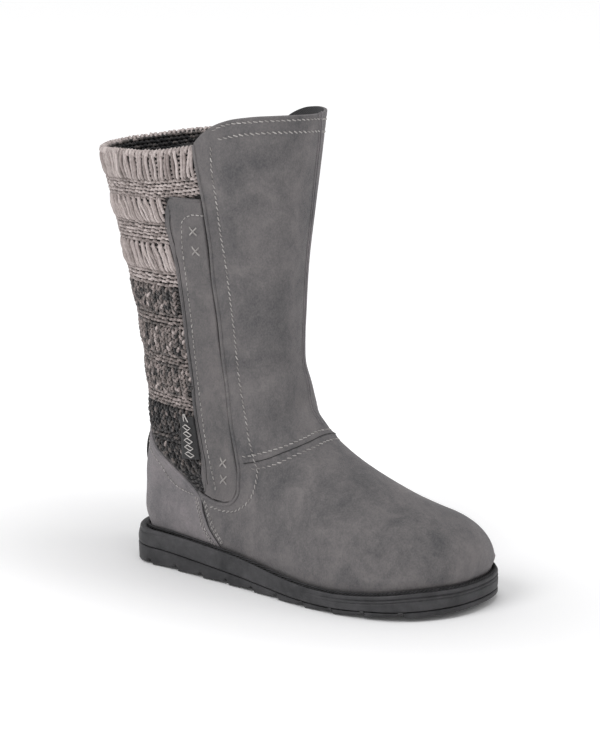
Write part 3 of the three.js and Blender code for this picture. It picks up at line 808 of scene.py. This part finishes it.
# ---- Suede upper ----
def make_upper():
    """The vamp, quarters and shaft front as one skin, then given the wall and a dark lining."""
    def front_turns(edge):
        return edge + (360 - 2 * edge) * clustered(FRONT_COLUMNS)

    low = clustered(LOW_ROWS)
    rows = [(front_turns(EDGE_TURN), np.full(FRONT_COLUMNS, height)) for height in MEETING * low]
    for share in np.linspace(0, 1, HIGH_ROWS)[1:]:
        at = MEETING + share * (SUEDE_RIM(180) - MEETING)
        for _ in range(3):
            turn = front_turns(float(PANEL_EDGE(at)) if at > MEETING + 1 else EDGE_TURN)
            height = MEETING + share * (SUEDE_RIM(turn) - MEETING)
            at = height[0]
        rows.append((turn, height))
    front = [np.stack(column) for column in zip(*rows)]
    across = np.linspace(-EDGE_TURN, EDGE_TURN, 2 * HEEL_COLUMNS + 1)
    top = KNIT_HEM(np.abs(across))
    top[[0, -1]] = MEETING
    behind = [np.broadcast_to(across, (LOW_ROWS, len(across))), low[:, None] * top]
    points = [shell(*side, suede_lift(*side)).reshape(-1, 3) for side in (front, behind)]
    faces = [grid(*front[0].shape), grid(*behind[0].shape, front[0].size)]
    upper = merged(mesh_object("suede_upper", np.concatenate(points), np.concatenate(faces)), UPPER_WELD)
    for material in (SUEDE, LINING):
        upper.data.materials.append(material)
    wall = upper.modifiers.new("wall", "SOLIDIFY")
    wall.thickness, wall.offset = WALL / 1000, -1.0
    wall.material_offset, wall.material_offset_rim = 1, 0
    edge = upper.modifiers.new("turned_edge", "BEVEL")
    edge.width, edge.segments, edge.limit_method, edge.angle_limit = TURNED_EDGE / 1000, 2, "ANGLE", math.radians(60)
    return baked(upper)


def make_counter():
    height = COUNTER_HEIGHT * clustered(72)[:, None]
    turn = COUNTER_EDGE(height) * (2 * clustered(110) - 1)
    inside = 0.1 - heel_tuck(turn, height)
    # The counter takes the lighter copy of the suede: painted light on the heel.
    return panel("heel_counter_suede", turn, height, counter_lift(turn, height), inside, LIT_SUEDE)


def make_strap():
    height = (STRAP_LOW + (STRAP_HIGH - STRAP_LOW) * clustered(150))[:, None]
    turn = strap_back(height) + (strap_front(height) - strap_back(height)) * clustered(64)
    return panel("side_strap_suede", turn, height, strap_lift(turn, height), 0.25, SUEDE_STRAP)


def make_window_piping():
    """The narrow rolled edge of the panel's window, round the strap and down to the heel."""
    sides = ((WINDOW, 1.55), (mirrored(WINDOW_INNER), 1.15))
    return spun("window_piping", [(shell(*route(k, 1.5), lift), 1.15, 0.5) for k, lift in sides], SUEDE, sides=10)


def make_seams():
    """Painted shade: dark lines in the ankle's fold, beside the heel seam and in the strap's step; and the seam beside
    the shin as two raised cords in the lighter suede, a painted highlight.
    """
    turn, height = route(ANKLE_FOLD, 1.5)
    # Painted shade: thin dark strands laid in the ankle's fold, beside the heel seam and in the strap's step.
    dark = [(shell(turn, height, suede_lift(turn, height)), 0.24, 0.5)]
    dark.append((shell(*beside(*route(COUNTER_SEAM, 1.5), 0.4), 0.3), 0.22, 0.5))
    height = np.linspace(44, 231, 180)
    turn = strap_back(height) + 3.6
    dark.append((shell(turn, height, strap_lift(turn, height) + 0.05), 0.26, 0.5))
    # Painted highlight: the two cords of the seam beside the shin take the lighter suede.
    pale = []
    for offset in (0.0, 2.2):
        turn, height = beside(*route(FRONT_SEAM, 1.5), offset)
        pale.append((shell(turn, height, suede_lift(turn, height) + 0.1), 0.55, 0.5))
    return spun("fold_shade_lines", dark, HOLE_AND_SEAM_SHADE), spun("front_seam_lit_ridges", pale, LIT_SUEDE)


# ---- Stitches ----
# Along one stitch, from hole to hole: the share of its length, how high and how far aside it lies, and its width.
STITCH_PLACES = np.array([-0.5, -0.36, 0.0, 0.36, 0.5])
STITCH_RISE = np.array([-0.15, 0.16, 0.34, 0.16, -0.15])[:, None]
STITCH_ASIDE = np.array([-1, -0.7, 0, 0.7, 1])[:, None]
STITCH_WIDTH = np.array([0.55, 0.9, 1.0, 0.9, 0.55])
HEEL_STITCHES = {"pitch": 3.0, "length": 2.0, "width": 0.36, "slant": 0.2, "tone": 0.66}
# Rows beside the heel seam: how far from it, where the first stitch begins and the surface they are sewn on.
HEEL_ROWS = ((2.6, 3, suede_lift), (4.3, 4, suede_lift), (-3.0, 3, counter_lift), (-4.8, 4, counter_lift))
CROSSES = ((105, 218), (105.6, 204.5), (91, 61.5), (82.5, 50))


def stitch_run(knots, lift, holes, pitch=3.7, length=2.9, width=0.4, slant=0.5, tone=0.72, offset=0.0, start=1.5):
    """Separate stitches on a line: each rises from one hole and goes down into the next."""
    turn, height = route(knots, 0.5)
    if offset:
        turn, height = beside(turn, height, offset)
    base = shell(turn, height, lift(turn, height))
    run = lengths(base)
    facing = normal(turn, height)
    strands = []
    for middle in np.arange(start + length / 2, run[-1] - length / 2, pitch):
        s = middle + length * STITCH_PLACES
        p, n = along(s, run, base), unit(along(s, run, facing))
        side = unit(np.cross(unit(p[-1] - p[0]), n[2]))
        wander = slant + 0.12 * rng.standard_normal()
        p = p + n * STITCH_RISE + side * wander * STITCH_ASIDE
        strands.append((p, width * STITCH_WIDTH, tone + 0.1 * rng.standard_normal()))
        holes.append((p[0] + n[0] * 0.1, n[0]))
    return strands


def cross_stitch(turn, height, lift, size=2.7, tone=0.62):
    """An X of two doubled stitches."""
    around = unit(skin(turn + STEP, height) - skin(turn - STEP, height))
    n = normal(np.array([turn]), np.array([height]))[0]
    up = np.cross(n, around)
    base = shell(turn, height) + n * lift
    s = np.linspace(-1, 1, 7)
    strands = []
    for sign in (1, -1):
        rise = 0.5 * (1 - s ** 4) + (0.12 if sign > 0 else 0.0) - 0.1
        for shift in (-0.33, 0.33):
            line = base + np.outer(s * size, around) + np.outer(sign * s * size + shift, up) + np.outer(rise, n)
            strands.append((line, 0.33, tone + 0.08 * rng.standard_normal()))
    return strands


def make_stitching():
    holes = []
    rows = {"thread_collar": [], "thread_side": [], "thread_ankle": [], "thread_strap": [], "thread_heel": []}
    strap_stitches = {"pitch": 3.6, "length": 2.4, "width": 0.34, "slant": 0.15, "tone": 0.66}
    for name, knots, lift, values in (
        ("thread_collar", COLLAR_ROW_HIGH, suede_lift, {}),
        ("thread_collar", COLLAR_ROW_LOW, suede_lift, {"slant": 0.75, "width": 0.44}),
        ("thread_side", SIDE_ROW, suede_lift, {"slant": -0.6, "tone": 0.64}),
        ("thread_side", SIDE_ROW_INNER, suede_lift, {"tone": 0.64}),
        ("thread_ankle", ANKLE_HIGH, suede_lift, {"tone": 0.7}),
        ("thread_ankle", ANKLE_LOW, suede_lift, {"slant": 0.7, "tone": 0.66}),
        ("thread_strap", STRAP_ROW, strap_lift, strap_stitches),
    ):
        rows[name] += stitch_run(knots, lift, holes, **values)
    for turn, height in CROSSES:
        lift = float(strap_lift(np.array([turn]), np.array([height]))[0])
        rows["thread_strap"] += cross_stitch(turn, height, lift)
    for side, sign in ((list, 1), (mirrored, -1)):
        for offset, start, lift in HEEL_ROWS:
            values = {"offset": offset * sign, "start": start, **HEEL_STITCHES}
            rows["thread_heel"] += stitch_run(side(COUNTER_SEAM), lift, holes, **values)
        rows["thread_heel"] += stitch_run(side(COUNTER_ROW), counter_lift, holes, start=1, **HEEL_STITCHES)
    pieces = [spun(name, strands, THREAD) for name, strands in rows.items()]
    points, facing = (np.array(column) for column in zip(*holes))
    # Small dark beads at every needle hole: painted shade in the holes.
    return pieces + [dots("needle_hole_shade", points, facing, HOLE_AND_SEAM_SHADE, 0.5, 0.35)]


# ---- Knitted back ----
COLUMN = 6.3  # from one rib to the next
GARTER_ROW, GARTER_STITCH, CHAIN_ROW = 2.55, 3.6, 3.2
TILT_FROM, RIM_LEVEL = 120, 270
OPENING_END, KNIT_FARTHEST, GROUND_FARTHEST = 117, 118, 117.5
INNER_ROWS, INNER_ROW = 17, 2.7
# Each band: its top level, its bottom level, how it is knitted and how light its yarn is.
BANDS = [
    (270, 250, "loops", 0.84), (250, 238, "garter", 0.80), (238, 221, "slanted", 0.82), (221, 206, "garter", 0.76),
    (206, 187, "slanted", 0.82), (187, 176, "garter", 0.82), (176, 158, "chain", 0.40), (158, 147, "garter", 0.50),
    (147, 129, "chain", 0.46), (129, 119, "garter", 0.50), (119, 101, "chain", 0.48), (101, 91, "garter", 0.58),
    (91, 74, "chain", 0.16), (74, 66, "garter", 0.26), (66, 49, "chain", 0.16), (49, 34, "garter", 0.14),
]
KNIT_PIECES = (
    ("knit_light", 176, 999, SOFT_YARN), ("knit_marl", 91, 176, MARL_YARN), ("knit_charcoal", 0, 91, DARK_YARN),
)
# One purl bump and one arm of a chain stitch, as millimetres across, up and out.
PURL = [
    (-2.0, -0.75, -0.5), (-1.35, -0.1, 0.6), (-0.6, 0.45, 1.1), (0.6, 0.45, 1.1), (1.35, -0.1, 0.6), (2.0, -0.75, -0.5),
]
ARM = [(-2.0, 1.75, -0.3), (-1.65, 1.0, 0.95), (-1.15, 0.0, 1.4), (-0.6, -1.0, 1.15), (-0.15, -1.9, 0.0)]
PURL_WIDTH, ARM_WIDTH = np.array([0.7, 0.95, 1, 1, 0.95, 0.7]), np.array([0.75, 1, 1.05, 1, 0.75])
CAST_OFF_WIDTH = np.array([0.9, 1.1, 1.15, 1.1, 1.0, 0.8])


def knit_height(turn, level):
    tilt = KNIT_RIM(np.abs(turn)) - RIM_LEVEL
    return level + tilt * np.clip((level - TILT_FROM) / (RIM_LEVEL - TILT_FROM), 0, 1)


def degrees_per_mm(turn, height):
    return 1 / np.linalg.norm(skin(turn + 0.5, height) - skin(turn - 0.5, height), axis=-1)


def in_opening(turn, height, margin):
    """Whether a point is in the knit's opening, on the outer side only as far as the strap."""
    if height < KNIT_HEM(abs(turn)) + margin:
        return False
    limit = PANEL_EDGE(height) if height > MEETING else OPENING_END
    if turn > 0 and height < STRAP_TOP:
        limit = min(limit, strap_back(max(height, STRAP_FOOT)) + STRAP_COVER)
    return abs(turn) < limit - margin * 0.9


def knit_points(level, spacing, shift=0.0):
    """Turns, one for each stitch of a row, evenly spaced over the whole opening."""
    turns = np.arange(-KNIT_FARTHEST, KNIT_FARTHEST + 0.01, 0.5)
    run = lengths(shell(turns, knit_height(turns, level), 1.5))
    middle = np.interp(0, turns, run)
    count = int(run[-1] / spacing) + 2
    places = middle + (np.arange(-count, count + 1) + shift) * spacing
    places = places[(places > 0) & (places < run[-1])]
    return np.interp(places, run, turns)


def row_places(row_level, level, spacing, shift=0.0, margin=1.4):
    """The turn and height of each stitch that lies in the opening."""
    for turn in knit_points(row_level, spacing, shift):
        height = float(knit_height(turn, level))
        if in_opening(turn, height, margin):
            yield turn, height


def strand(turn, level, offsets, sink=0.0):
    """A yarn stretch near a point: offsets are millimetres across, up and out."""
    across, up, out = np.array(offsets, float).T
    height = knit_height(turn, level)
    return shell(turn + across * degrees_per_mm(turn, height), height + up, out - sink)


def tucked(turn, height):
    """How much a stitch sinks where the knit goes under the suede."""
    return 0.9 * (1 - smooth(height - KNIT_HEM(abs(turn)), 0, 5))


def row_levels(top, bottom, row_height):
    rows = max(2, round((top - bottom) / row_height))
    return rows, [(row, bottom + (row + 0.5) * (top - bottom) / rows) for row in range(rows)]


def garter(top, bottom, tone):
    strands = []
    rows, levels = row_levels(top, bottom, GARTER_ROW)
    for row, level in levels:
        for turn, height in row_places(level, level, GARTER_STITCH, 0.5 * (row % 2), 0.8):
            jitter = rng.normal(0, 0.16, 2)
            offsets = [(a * 1.03, u + jitter[0] + 0.35 * math.sin(turn), o + 0.3 * jitter[1]) for a, u, o in PURL]
            width = 0.98 + 0.08 * rng.standard_normal()
            # The first and last rows of each band are 0.1 darker: painted shade where the band meets its neighbours.
            shade = tone + 0.09 * rng.standard_normal() - (0.1 if row in (0, rows - 1) else 0)
            strands.append((strand(turn, level, offsets, tucked(turn, height)), width * PURL_WIDTH, shade))
    return strands


def chain(top, bottom, tone):
    """Ribs of chain stitches, two arms to each, with a small rung set back between the ribs, darkened to under half the
    band's tone as painted shade.
    """
    strands = []
    rows, levels = row_levels(top, bottom, CHAIN_ROW)
    middle = (top + bottom) / 2
    for row, level in levels:
        swell = 0.55 * math.sin(math.pi * (row + 0.5) / rows)
        for turn, height in row_places(middle, level, COLUMN):
            for side in (-1, 1):
                aside, lift, fat = rng.normal(0, 0.15, 3)
                offsets = [(-side * a * 1.05 + aside, u * 1.1 + lift, o + swell + fat * 0.6) for a, u, o in ARM]
                shade = tone + 0.17 * rng.standard_normal()
                line = strand(turn, level, offsets, tucked(turn, height))
                strands.append((line, (1.0 + 0.08 * fat) * ARM_WIDTH, shade))
        # Painted shade: the rungs between the ribs take under half the band's tone.
        for turn, height in row_places(middle, level, COLUMN, 0.5):
            offsets = [(a * 0.8, u, o - 0.6) for a, u, o in PURL]
            strands.append((strand(turn, level, offsets), 0.8, tone * 0.45 + 0.05 * rng.standard_normal()))
    return strands


def loops(top, bottom, tone, slant=0.0, spacing=COLUMN):
    """Long loops over a whole band, in pairs that close towards the top, with small rungs behind them, a little darker
    than the loops as painted shade.
    """
    strands = []
    middle, reach = (top + bottom) / 2, (top - bottom) / 2 + 0.6
    s = np.linspace(-1, 1, 11)

    def seen(turn, height):
        at_rim = height > KNIT_RIM(abs(turn)) - 6 and abs(turn) < PANEL_EDGE(height) - 1.2
        return in_opening(turn, height, 1.0) or at_rim

    for turn in knit_points(middle, spacing):
        scale = degrees_per_mm(turn, knit_height(turn, middle))
        for side in (-1, 1):
            aside, bend, fat = rng.normal(0, 0.22, 3)
            spread = side * (1.3 - 0.75 * smooth(s, -0.3 + bend, 1.0) + 0.2 * np.sin(2.6 * s + bend * 9)) + 0.8 * aside
            across = spread - slant * s + 0.35 * np.sin(2.2 * s + turn)
            out = -0.2 + (2.0 + 0.35 * fat) * (1 - s ** 4) ** 0.7 + 0.3 * np.sin(4.0 * s + 2 * side + turn)
            turns = turn + across * scale
            heights = knit_height(turns, middle + s * reach)
            inside = np.flatnonzero([seen(t, h) for t, h in zip(turns, heights)])
            if len(inside) < 6:
                continue
            part = slice(inside[0], inside[-1] + 1)
            widths = (1.18 + 0.12 * fat) * (0.75 + 0.25 * (1 - s[part] ** 6))
            strands.append((shell(turns[part], heights[part], out[part]), widths, tone + 0.1 * rng.standard_normal()))
        side_turn = turn + spacing / 2 * scale
        # Painted shade: the rungs behind the loops take 0.82 of the band's tone.
        for level in np.arange(bottom + 1.6, top - 0.8, 2.9):
            if in_opening(side_turn, float(knit_height(side_turn, level)), 1.4):
                lean = -slant * (level - middle) / reach
                offsets = [(a * 0.8 + lean, u, o - 0.45) for a, u, o in PURL]
                strands.append((strand(side_turn, level, offsets), 0.82, tone * 0.82 + 0.07 * rng.standard_normal()))
    return strands


def slanted(top, bottom, tone):
    return loops(top, bottom, tone, slant=2.9, spacing=6.0)


def rim_loops(tone=0.88):
    """The cast-off edge: loops that go over the rim from the outside to the inside."""
    strands = []
    for turn in knit_points(RIM_LEVEL, 3.3):
        if abs(turn) > PANEL_EDGE(275) - 0.8:
            continue
        lift = 0.3 * rng.standard_normal() * 0.5
        offsets = [
            (-0.5, -3.2, 0.8), (-0.2, -1.5, 1.6), (0.1, -0.1 + lift, 1.0),
            (0.3, 0.35 + lift, -0.1), (0.5, -0.6, -1.3), (0.6, -2.6, -1.9),
        ]
        strands.append((strand(turn, RIM_LEVEL, offsets), CAST_OFF_WIDTH, tone + 0.08 * rng.standard_normal()))
    return strands


def inner_rows():
    """The charcoal inside of the knit, near the rim: purl rows that face inwards."""
    strands = []
    for row in range(INNER_ROWS):
        level = RIM_LEVEL - 2.2 - row * INNER_ROW
        tone = 0.3 if row == 0 else 0.13
        for turn in knit_points(level, 3.8, 0.5 * (row % 2)):
            if abs(turn) > PANEL_EDGE(float(knit_height(turn, level))) + 6:
                continue
            jitter = rng.normal(0, 0.2, 2)
            offsets = [(a * 1.05, u + jitter[0], -2.3 - 0.75 * o + 0.2 * jitter[1]) for a, u, o in PURL]
            strands.append((strand(turn, level, offsets), 0.95, tone + 0.12 * rng.standard_normal()))
    return strands


def make_knit():
    makers = {"garter": garter, "chain": chain, "loops": loops, "slanted": slanted}
    pieces = []
    for name, low, high, material in KNIT_PIECES:
        strands = []
        for top, bottom, kind, tone in BANDS:
            if low <= bottom and top <= high:
                strands += makers[kind](top, bottom, tone)
        if name == "knit_light":
            strands += rim_loops()
        pieces.append(spun(name, strands, material, ruffle=0.6))
    pieces.append(spun("knit_inside", inner_rows(), DARK_YARN, sides=5, ruffle=0.4))
    across = np.linspace(-GROUND_FARTHEST, GROUND_FARTHEST, 110)[None, :]
    low, high = KNIT_HEM(np.abs(across)) - 2, knit_height(across, RIM_LEVEL - 1.2)
    height = low + (high - low) * clustered(60)[:, None]
    limit = np.where(height > MEETING, PANEL_EDGE(height), GROUND_FARTHEST) + 1.0
    turn = across / GROUND_FARTHEST * np.minimum(GROUND_FARTHEST, limit)
    return pieces + [panel("knit_ground", turn, height, -0.35, -2.1, GROUND)]


# ---- Tag and heel tab ----
def make_tag():
    """A blank woven tag, folded in half and sewn in behind the strap's edge, with two white tacks."""
    s, t = np.linspace(0, 1, 40)[:, None], np.linspace(0, 1, 22)[None, :]
    height = 57.5 + 29.5 * s + 2.6 * t - 1.0 * s * t
    turn = strap_back(height) + 0.8 - 12.4 * (1 - t)
    swell = 3.3 + 0.5 * np.sin(math.pi * t) + 0.25 * np.sin(5 * s + 2 * t)
    thin = 0.45 * round_end(np.minimum(np.minimum(t * 12, 1), np.minimum((1 - s) * 30, s * 30)))
    tag = panel("side_tag_woven", turn, height, swell + thin, swell - thin - 0.15, WEBBING)
    strands = []
    for across, lean in ((2.2, 0.8), (4.2, -0.5)):
        up = np.linspace(-2.6, 2.6, 7)
        turn = strap_back(86.0) - 8.6 + across + lean * up / 2.6
        strands.append((shell(turn, 87.0 + up, 4.3 + 0.3 * (1 - (up / 2.6) ** 2)), 0.36, 1.0))
    ring = np.linspace(0, 2 * math.pi, 5) + math.pi / 2
    for k in range(5):
        up = 62.0 + 4.6 * k
        turn = strap_back(up) - 5.4 + 3.1 * np.cos(ring)
        strands.append((shell(turn, up + 1.8 * np.sin(ring), 4.4), 0.42, 1.0))
    return tag, spun("tag_thread", strands, THREAD)


def make_heel_tab():
    s, t = np.linspace(0, 1, 60)[:, None], np.linspace(-1, 1, 26)[None, :]
    height = 38 + 32 * s
    turn = 9.0 * t + np.zeros_like(s)
    arch = 2.0 + 4.2 * np.sin(math.pi * s) ** 0.6
    ribs = 0.12 * np.cos(t * 9 * math.pi)
    edge = round_end((1 - np.abs(t)) * 9)
    return panel("heel_tab_webbing", turn, height, arch + (0.8 + ribs) * edge, arch - 0.8 * edge, WEBBING)


# ---- Sole ----
SPOKES = 720
SPINE_FROM, SPINE_TO = 34, 222
LUG_PITCH, LUG_FIRST, LUG_COUNT, LUG_DEPTH = 23.5, 30, 10, 2.0
LUG_SCALLOP, NICK_DEEPER, FLARE = 2.2, 1.7, 2.6


def lug_share(x):
    """0 just after a groove, on its toe side, and 1 just before the next."""
    return ((x - LUG_FIRST) / LUG_PITCH) % 1.0


def groove_depth(x):
    nearest = np.abs(x - LUG_FIRST - LUG_PITCH * np.clip(np.round((x - LUG_FIRST) / LUG_PITCH), 0, LUG_COUNT - 1))
    return LUG_DEPTH * (1 - smooth(nearest, 1.0, 2.6))


def fine_tread(x, y):
    """A shallow zigzag across each lug."""
    zigzag = np.abs(((y / 9) % 2) - 1) * 2.2
    nearest = np.abs(((x + zigzag - LUG_FIRST) / (LUG_PITCH / 4)) % 1.0 - 0.5) * LUG_PITCH / 4
    return 0.55 * (1 - smooth(nearest, 0.2, 0.8))


def spokes():
    turn = np.arange(SPOKES) / SPOKES * 360 + 180 / SPOKES
    rim_line = outline(turn, 0.0)
    spine_x = np.clip(rim_line[:, 0], SPINE_FROM, SPINE_TO)
    return rim_line, outline(turn, 1.0) - rim_line, np.stack([spine_x, plan["centre"](spine_x)], -1)


RIM_LINE, RIM_OUT, SPINE = spokes()
RIM_LONG = RIM_LINE[:, 0]
HEEL_FLARE = FLARE * (1 - smooth(RIM_LONG, 8, 46))


def loft(name, profile, inner_bottom, inner_top, inner_rows, material):
    """A closed form over spokes from the sole's spine to its rim. Profile lists the margin and z of each ring."""
    def ring(margin, share):
        return SPINE + (RIM_LINE + RIM_OUT * np.expand_dims(margin, -1) - SPINE) * share

    rings = []
    for k in range(inner_rows):
        xy = ring(profile[0][0], k / inner_rows)
        rings.append(np.column_stack([xy, inner_bottom(xy[:, 0], xy[:, 1])]))
    for margin, z in profile:
        xy = RIM_LINE + RIM_OUT * np.expand_dims(margin, -1)
        rings.append(np.column_stack([xy, np.broadcast_to(z, len(xy))]))
    for k in range(inner_rows - 1, -1, -1):
        xy = ring(profile[-1][0], k / inner_rows)
        rings.append(np.column_stack([xy, inner_top(xy[:, 0], xy[:, 1])]))
    piece = merged(mesh_object(name, np.concatenate(rings), grid(len(rings), SPOKES, closed=True)), SOLE_WELD)
    piece.data.materials.append(material)
    return piece


def make_outsole():
    joint, under = sole["joint"](RIM_LONG), sole_under(RIM_LONG)
    lugged = smooth(RIM_LONG, 16, 34) * (1 - smooth(RIM_LONG, 238, 252))
    scallop = lugged * LUG_SCALLOP * lug_share(RIM_LONG)
    groove = groove_depth(RIM_LONG)
    nick = groove * NICK_DEEPER
    edge = under + np.maximum(scallop, nick)
    heel = 1 - smooth(RIM_LONG, 8, 40)
    belly = SOLE_MARGIN - 0.4 * heel + HEEL_FLARE
    wall = SOLE_MARGIN + HEEL_FLARE
    profile = [
        (margin, under + np.maximum(groove, share * scallop))
        for margin, share in ((-10, 0), (-6, 0.35), (-2.5, 0.75), (1.2, 0.95))
    ]
    for angle in np.linspace(0, math.pi / 2, 5):
        margin = 1.9 + (belly - 1.9) * math.sin(angle) - 0.6 * nick / LUG_DEPTH * math.cos(angle) ** 0.5
        profile.append((margin, edge + 1.0 * (1 - math.cos(angle))))
    for s in (0.4, 0.7):
        profile.append((belly + (wall - belly) * s, edge + 1.0 + (joint - edge - 2.0) * s))
    profile += [(wall, joint - 0.9), (wall - 0.2, joint - 0.4), (wall - 0.7, joint - 0.12), (wall - 1.6, joint)]

    def under_face(px, py):
        return sole_under(px) + np.maximum(groove_depth(px), fine_tread(px, py) * smooth(px, 10, 25))

    return loft("outsole_lugged", profile, under_face, lambda px, py: sole["joint"](px), 14, RUBBER)


def make_midsole():
    joint, top = sole["joint"](RIM_LONG) + 0.3, sole["top"](RIM_LONG)
    toe, heel = smooth(RIM_LONG, 150, 235), 1 - smooth(RIM_LONG, 5, 60)
    tall = top - joint
    wall = SOLE_MARGIN + HEEL_FLARE
    profile = [(wall - 1.6, joint), (wall - 0.7, joint + 0.12), (wall - 0.2, joint + 0.5)]
    for s in np.linspace(0.12, 1.0, 30):
        z = joint + (tall - 0.4) * s
        bulge = 0.25 * math.sin(math.pi * s)
        below_top = top - z
        line_high = (1.1 * toe + 0.9 * heel + 0.1) * bump(below_top - 3.3, 0.5)
        line_low = 0.8 * toe * bump(below_top - 5.4, 0.45)
        lip = -1.3 * (1 - round_end(np.maximum(below_top - 0.1, 0) / 1.3)) - 1.3 * heel * smooth(s, 0.2, 1.0)
        profile.append((wall - 0.1 + bulge - line_high - line_low + lip, z))
    for margin, flare, drop in ((SOLE_MARGIN - 1.7, 0.2, 0.25), (SOLE_MARGIN - 2.2, 0.4, 0.9), (0.2, 1.0, 1.0)):
        profile.append((margin - HEEL_FLARE * flare, top - drop))
    return loft(
        "midsole_wedge", profile, lambda px, py: sole["joint"](px) + 0.3, lambda px, py: sole["top"](px) - 1.0,
        6, MIDSOLE_RUBBER,
    )


def make_welt():
    """A twisted rubber cord laid in the angle between the suede and the sole's lip."""
    turn = np.linspace(0, 360, 1501)
    turn[-1] = 0
    line = outline(turn, 0.45 - 0.75 * heel_tuck(turn, 0.0))
    middle = np.column_stack([line, sole["top"](line[:, 0]) + 0.3])
    out = np.column_stack([outline(turn, 1.0) - outline(turn, 0.0), np.zeros(len(turn))])
    up = np.array([0.0, 0.0, 1.0])
    run = lengths(middle)
    total = run[-1]
    s = np.linspace(0, total, 1150)
    base, side = along(s, run, middle), unit(along(s, run, out))
    strands = []
    for ply in range(WELT_PLIES):
        angle = 2 * math.pi * (s / total * round(total / WELT_TWIST) + ply / WELT_PLIES)[:, None]
        strands.append((base + side * (WELT_RADIUS * np.cos(angle)) + up * (WELT_RADIUS * np.sin(angle)), 0.55, 0.5))
    return spun("welt_rope", strands, WELT_RUBBER)


def make_insole():
    top = sole["top"](RIM_LONG)
    steps = ((-5.0, 0.3), (-4.2, 1.5), (-4.3, 4.0), (-5.6, 4.9), (-7.5, 4.4))
    profile = [(margin, top + rise) for margin, rise in steps]

    def cushion(px, py):
        hollow = 0.9 * bump(np.hypot((px - 45) / 24, py / 22), 1.0)
        return sole["top"](px) + 3.9 - hollow

    return loft("footbed", profile, lambda px, py: sole["top"](px) + 0.3, cushion, 10, FOOTBED)


# ---- Camera, light and floor ----
CAMERA_TURN, CAMERA_RISE, CAMERA_FAR, LENS = 36.6, 14.3, 2.94, 216.1
AIM_LONG, AIM_HIGH, AIM_ACROSS, AIM_UP = 130, 0.15, -0.0012, -0.00327
FLOOR_HALF = 4.0


def seen_from(turn, rise):
    """The direction to a place that is turned from the side of the boot and raised, in degrees."""
    a, e = math.radians(turn), math.radians(rise)
    return Vector((math.sin(a) * math.cos(e), -math.cos(a) * math.cos(e), math.sin(e)))


def make_camera():
    back = seen_from(CAMERA_TURN, CAMERA_RISE)
    right = Vector((math.cos(math.radians(CAMERA_TURN)), math.sin(math.radians(CAMERA_TURN)), 0))
    up = back.cross(right)
    aim = Vector(((AIM_LONG + SHIFT[0]) / 1000, SHIFT[1] / 1000, AIM_HIGH)) + right * AIM_ACROSS + up * AIM_UP
    data = bpy.data.cameras.new("studio_camera")
    data.lens, data.sensor_width = LENS, 36
    data.clip_start, data.clip_end = 0.1, 50
    camera = bpy.data.objects.new("studio_camera", data)
    camera.matrix_world = Matrix.Translation(aim + back * CAMERA_FAR) @ Matrix((right, up, back)).transposed().to_4x4()
    bpy.context.scene.collection.objects.link(camera)
    bpy.context.scene.camera = camera


def area_light(name, turn, rise, far, size, watts):
    back = seen_from(turn, rise)
    data = bpy.data.lights.new(name, "AREA")
    data.shape, data.size, data.energy = "DISK", size, watts
    light = bpy.data.objects.new(name, data)
    light.matrix_world = (
        Matrix.Translation(Vector((0, 0, AIM_HIGH)) + back * far) @ back.to_track_quat("Z", "Y").to_matrix().to_4x4()
    )
    bpy.context.scene.collection.objects.link(light)


def make_floor():
    """A white floor that glows a little away from the boot, so that its far parts don't go grey."""
    data = bpy.data.meshes.new("floor")
    corners = [(x * FLOOR_HALF, y * FLOOR_HALF, 0) for x, y in ((-1, -1), (1, -1), (1, 1), (-1, 1))]
    data.from_pydata(corners, [], [(0, 1, 2, 3)])
    floor = bpy.data.objects.new("floor", data)
    bpy.context.scene.collection.objects.link(floor)
    material, tree, shader = new_material("pale_floor")
    mottle = add_node(tree, "ShaderNodeTexNoise", {"Scale": 3.0, "Detail": 3.0}).outputs["Fac"]
    oval = add_node(tree, "ShaderNodeVectorMath", {0: own_place(tree), 1: (0.75, 1.35, 1.0)}, operation="MULTIPLY")
    distance = add_node(tree, "ShaderNodeVectorMath", {0: oval.outputs["Vector"]}, operation="LENGTH").outputs["Value"]
    values = {"Value": distance, "From Min": 0.08, "From Max": 0.38, "To Min": 0.02, "To Max": 0.42}
    glow = add_node(tree, "ShaderNodeMapRange", values, interpolation_type="SMOOTHSTEP").outputs[0]
    plug(tree, shader, {
        "Base Color": ramp(tree, mottle, [(0.3, linear(247, 247, 248)), (0.7, linear(251, 251, 251))]),
        "Roughness": 0.7, "Emission Strength": glow, "Emission Color": (1, 1, 1, 1),
    })
    data.materials.append(material)


def make_studio():
    area_light("key_light", -12, 46, 2.2, 1.1, 17)
    area_light("rim_light", 118, 30, 2.4, 1.2, 7)
    area_light("top_light", 40, 80, 2.4, 1.6, 14)
    world = bpy.data.worlds.new("studio")
    world.use_nodes = True
    plug(world.node_tree, world.node_tree.nodes["Background"], {"Color": (1, 1, 1, 1), "Strength": 0.5})
    bpy.context.scene.world = world
    bpy.context.scene.view_settings.view_transform = "Standard"
    make_floor()


# ---- Put together ----
def keep(piece, slot, *nodes):
    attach(piece, "root")
    if nodes:
        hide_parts(*nodes)


make_camera()
make_studio()
keep(make_outsole(), "rubber", "outsole")
keep(make_midsole(), "rubber", "midsole")
keep(make_welt(), "rubber", "welt")
keep(make_insole(), "lining", "insole")
keep(make_upper(), "suede", "upper")
keep(make_window_piping(), "suede")
for seam in make_seams():
    keep(seam, "suede")
keep(make_counter(), "suede", "heel_counter")
keep(make_strap(), "suede", "side_strap")
for knitted in make_knit():
    keep(knitted, "knit", "knit_back")
for stitched in make_stitching():
    keep(stitched, "webbing")
for tagged in make_tag():
    keep(tagged, "webbing", "side_tag")
keep(make_heel_tab(), "webbing", "heel_tab")
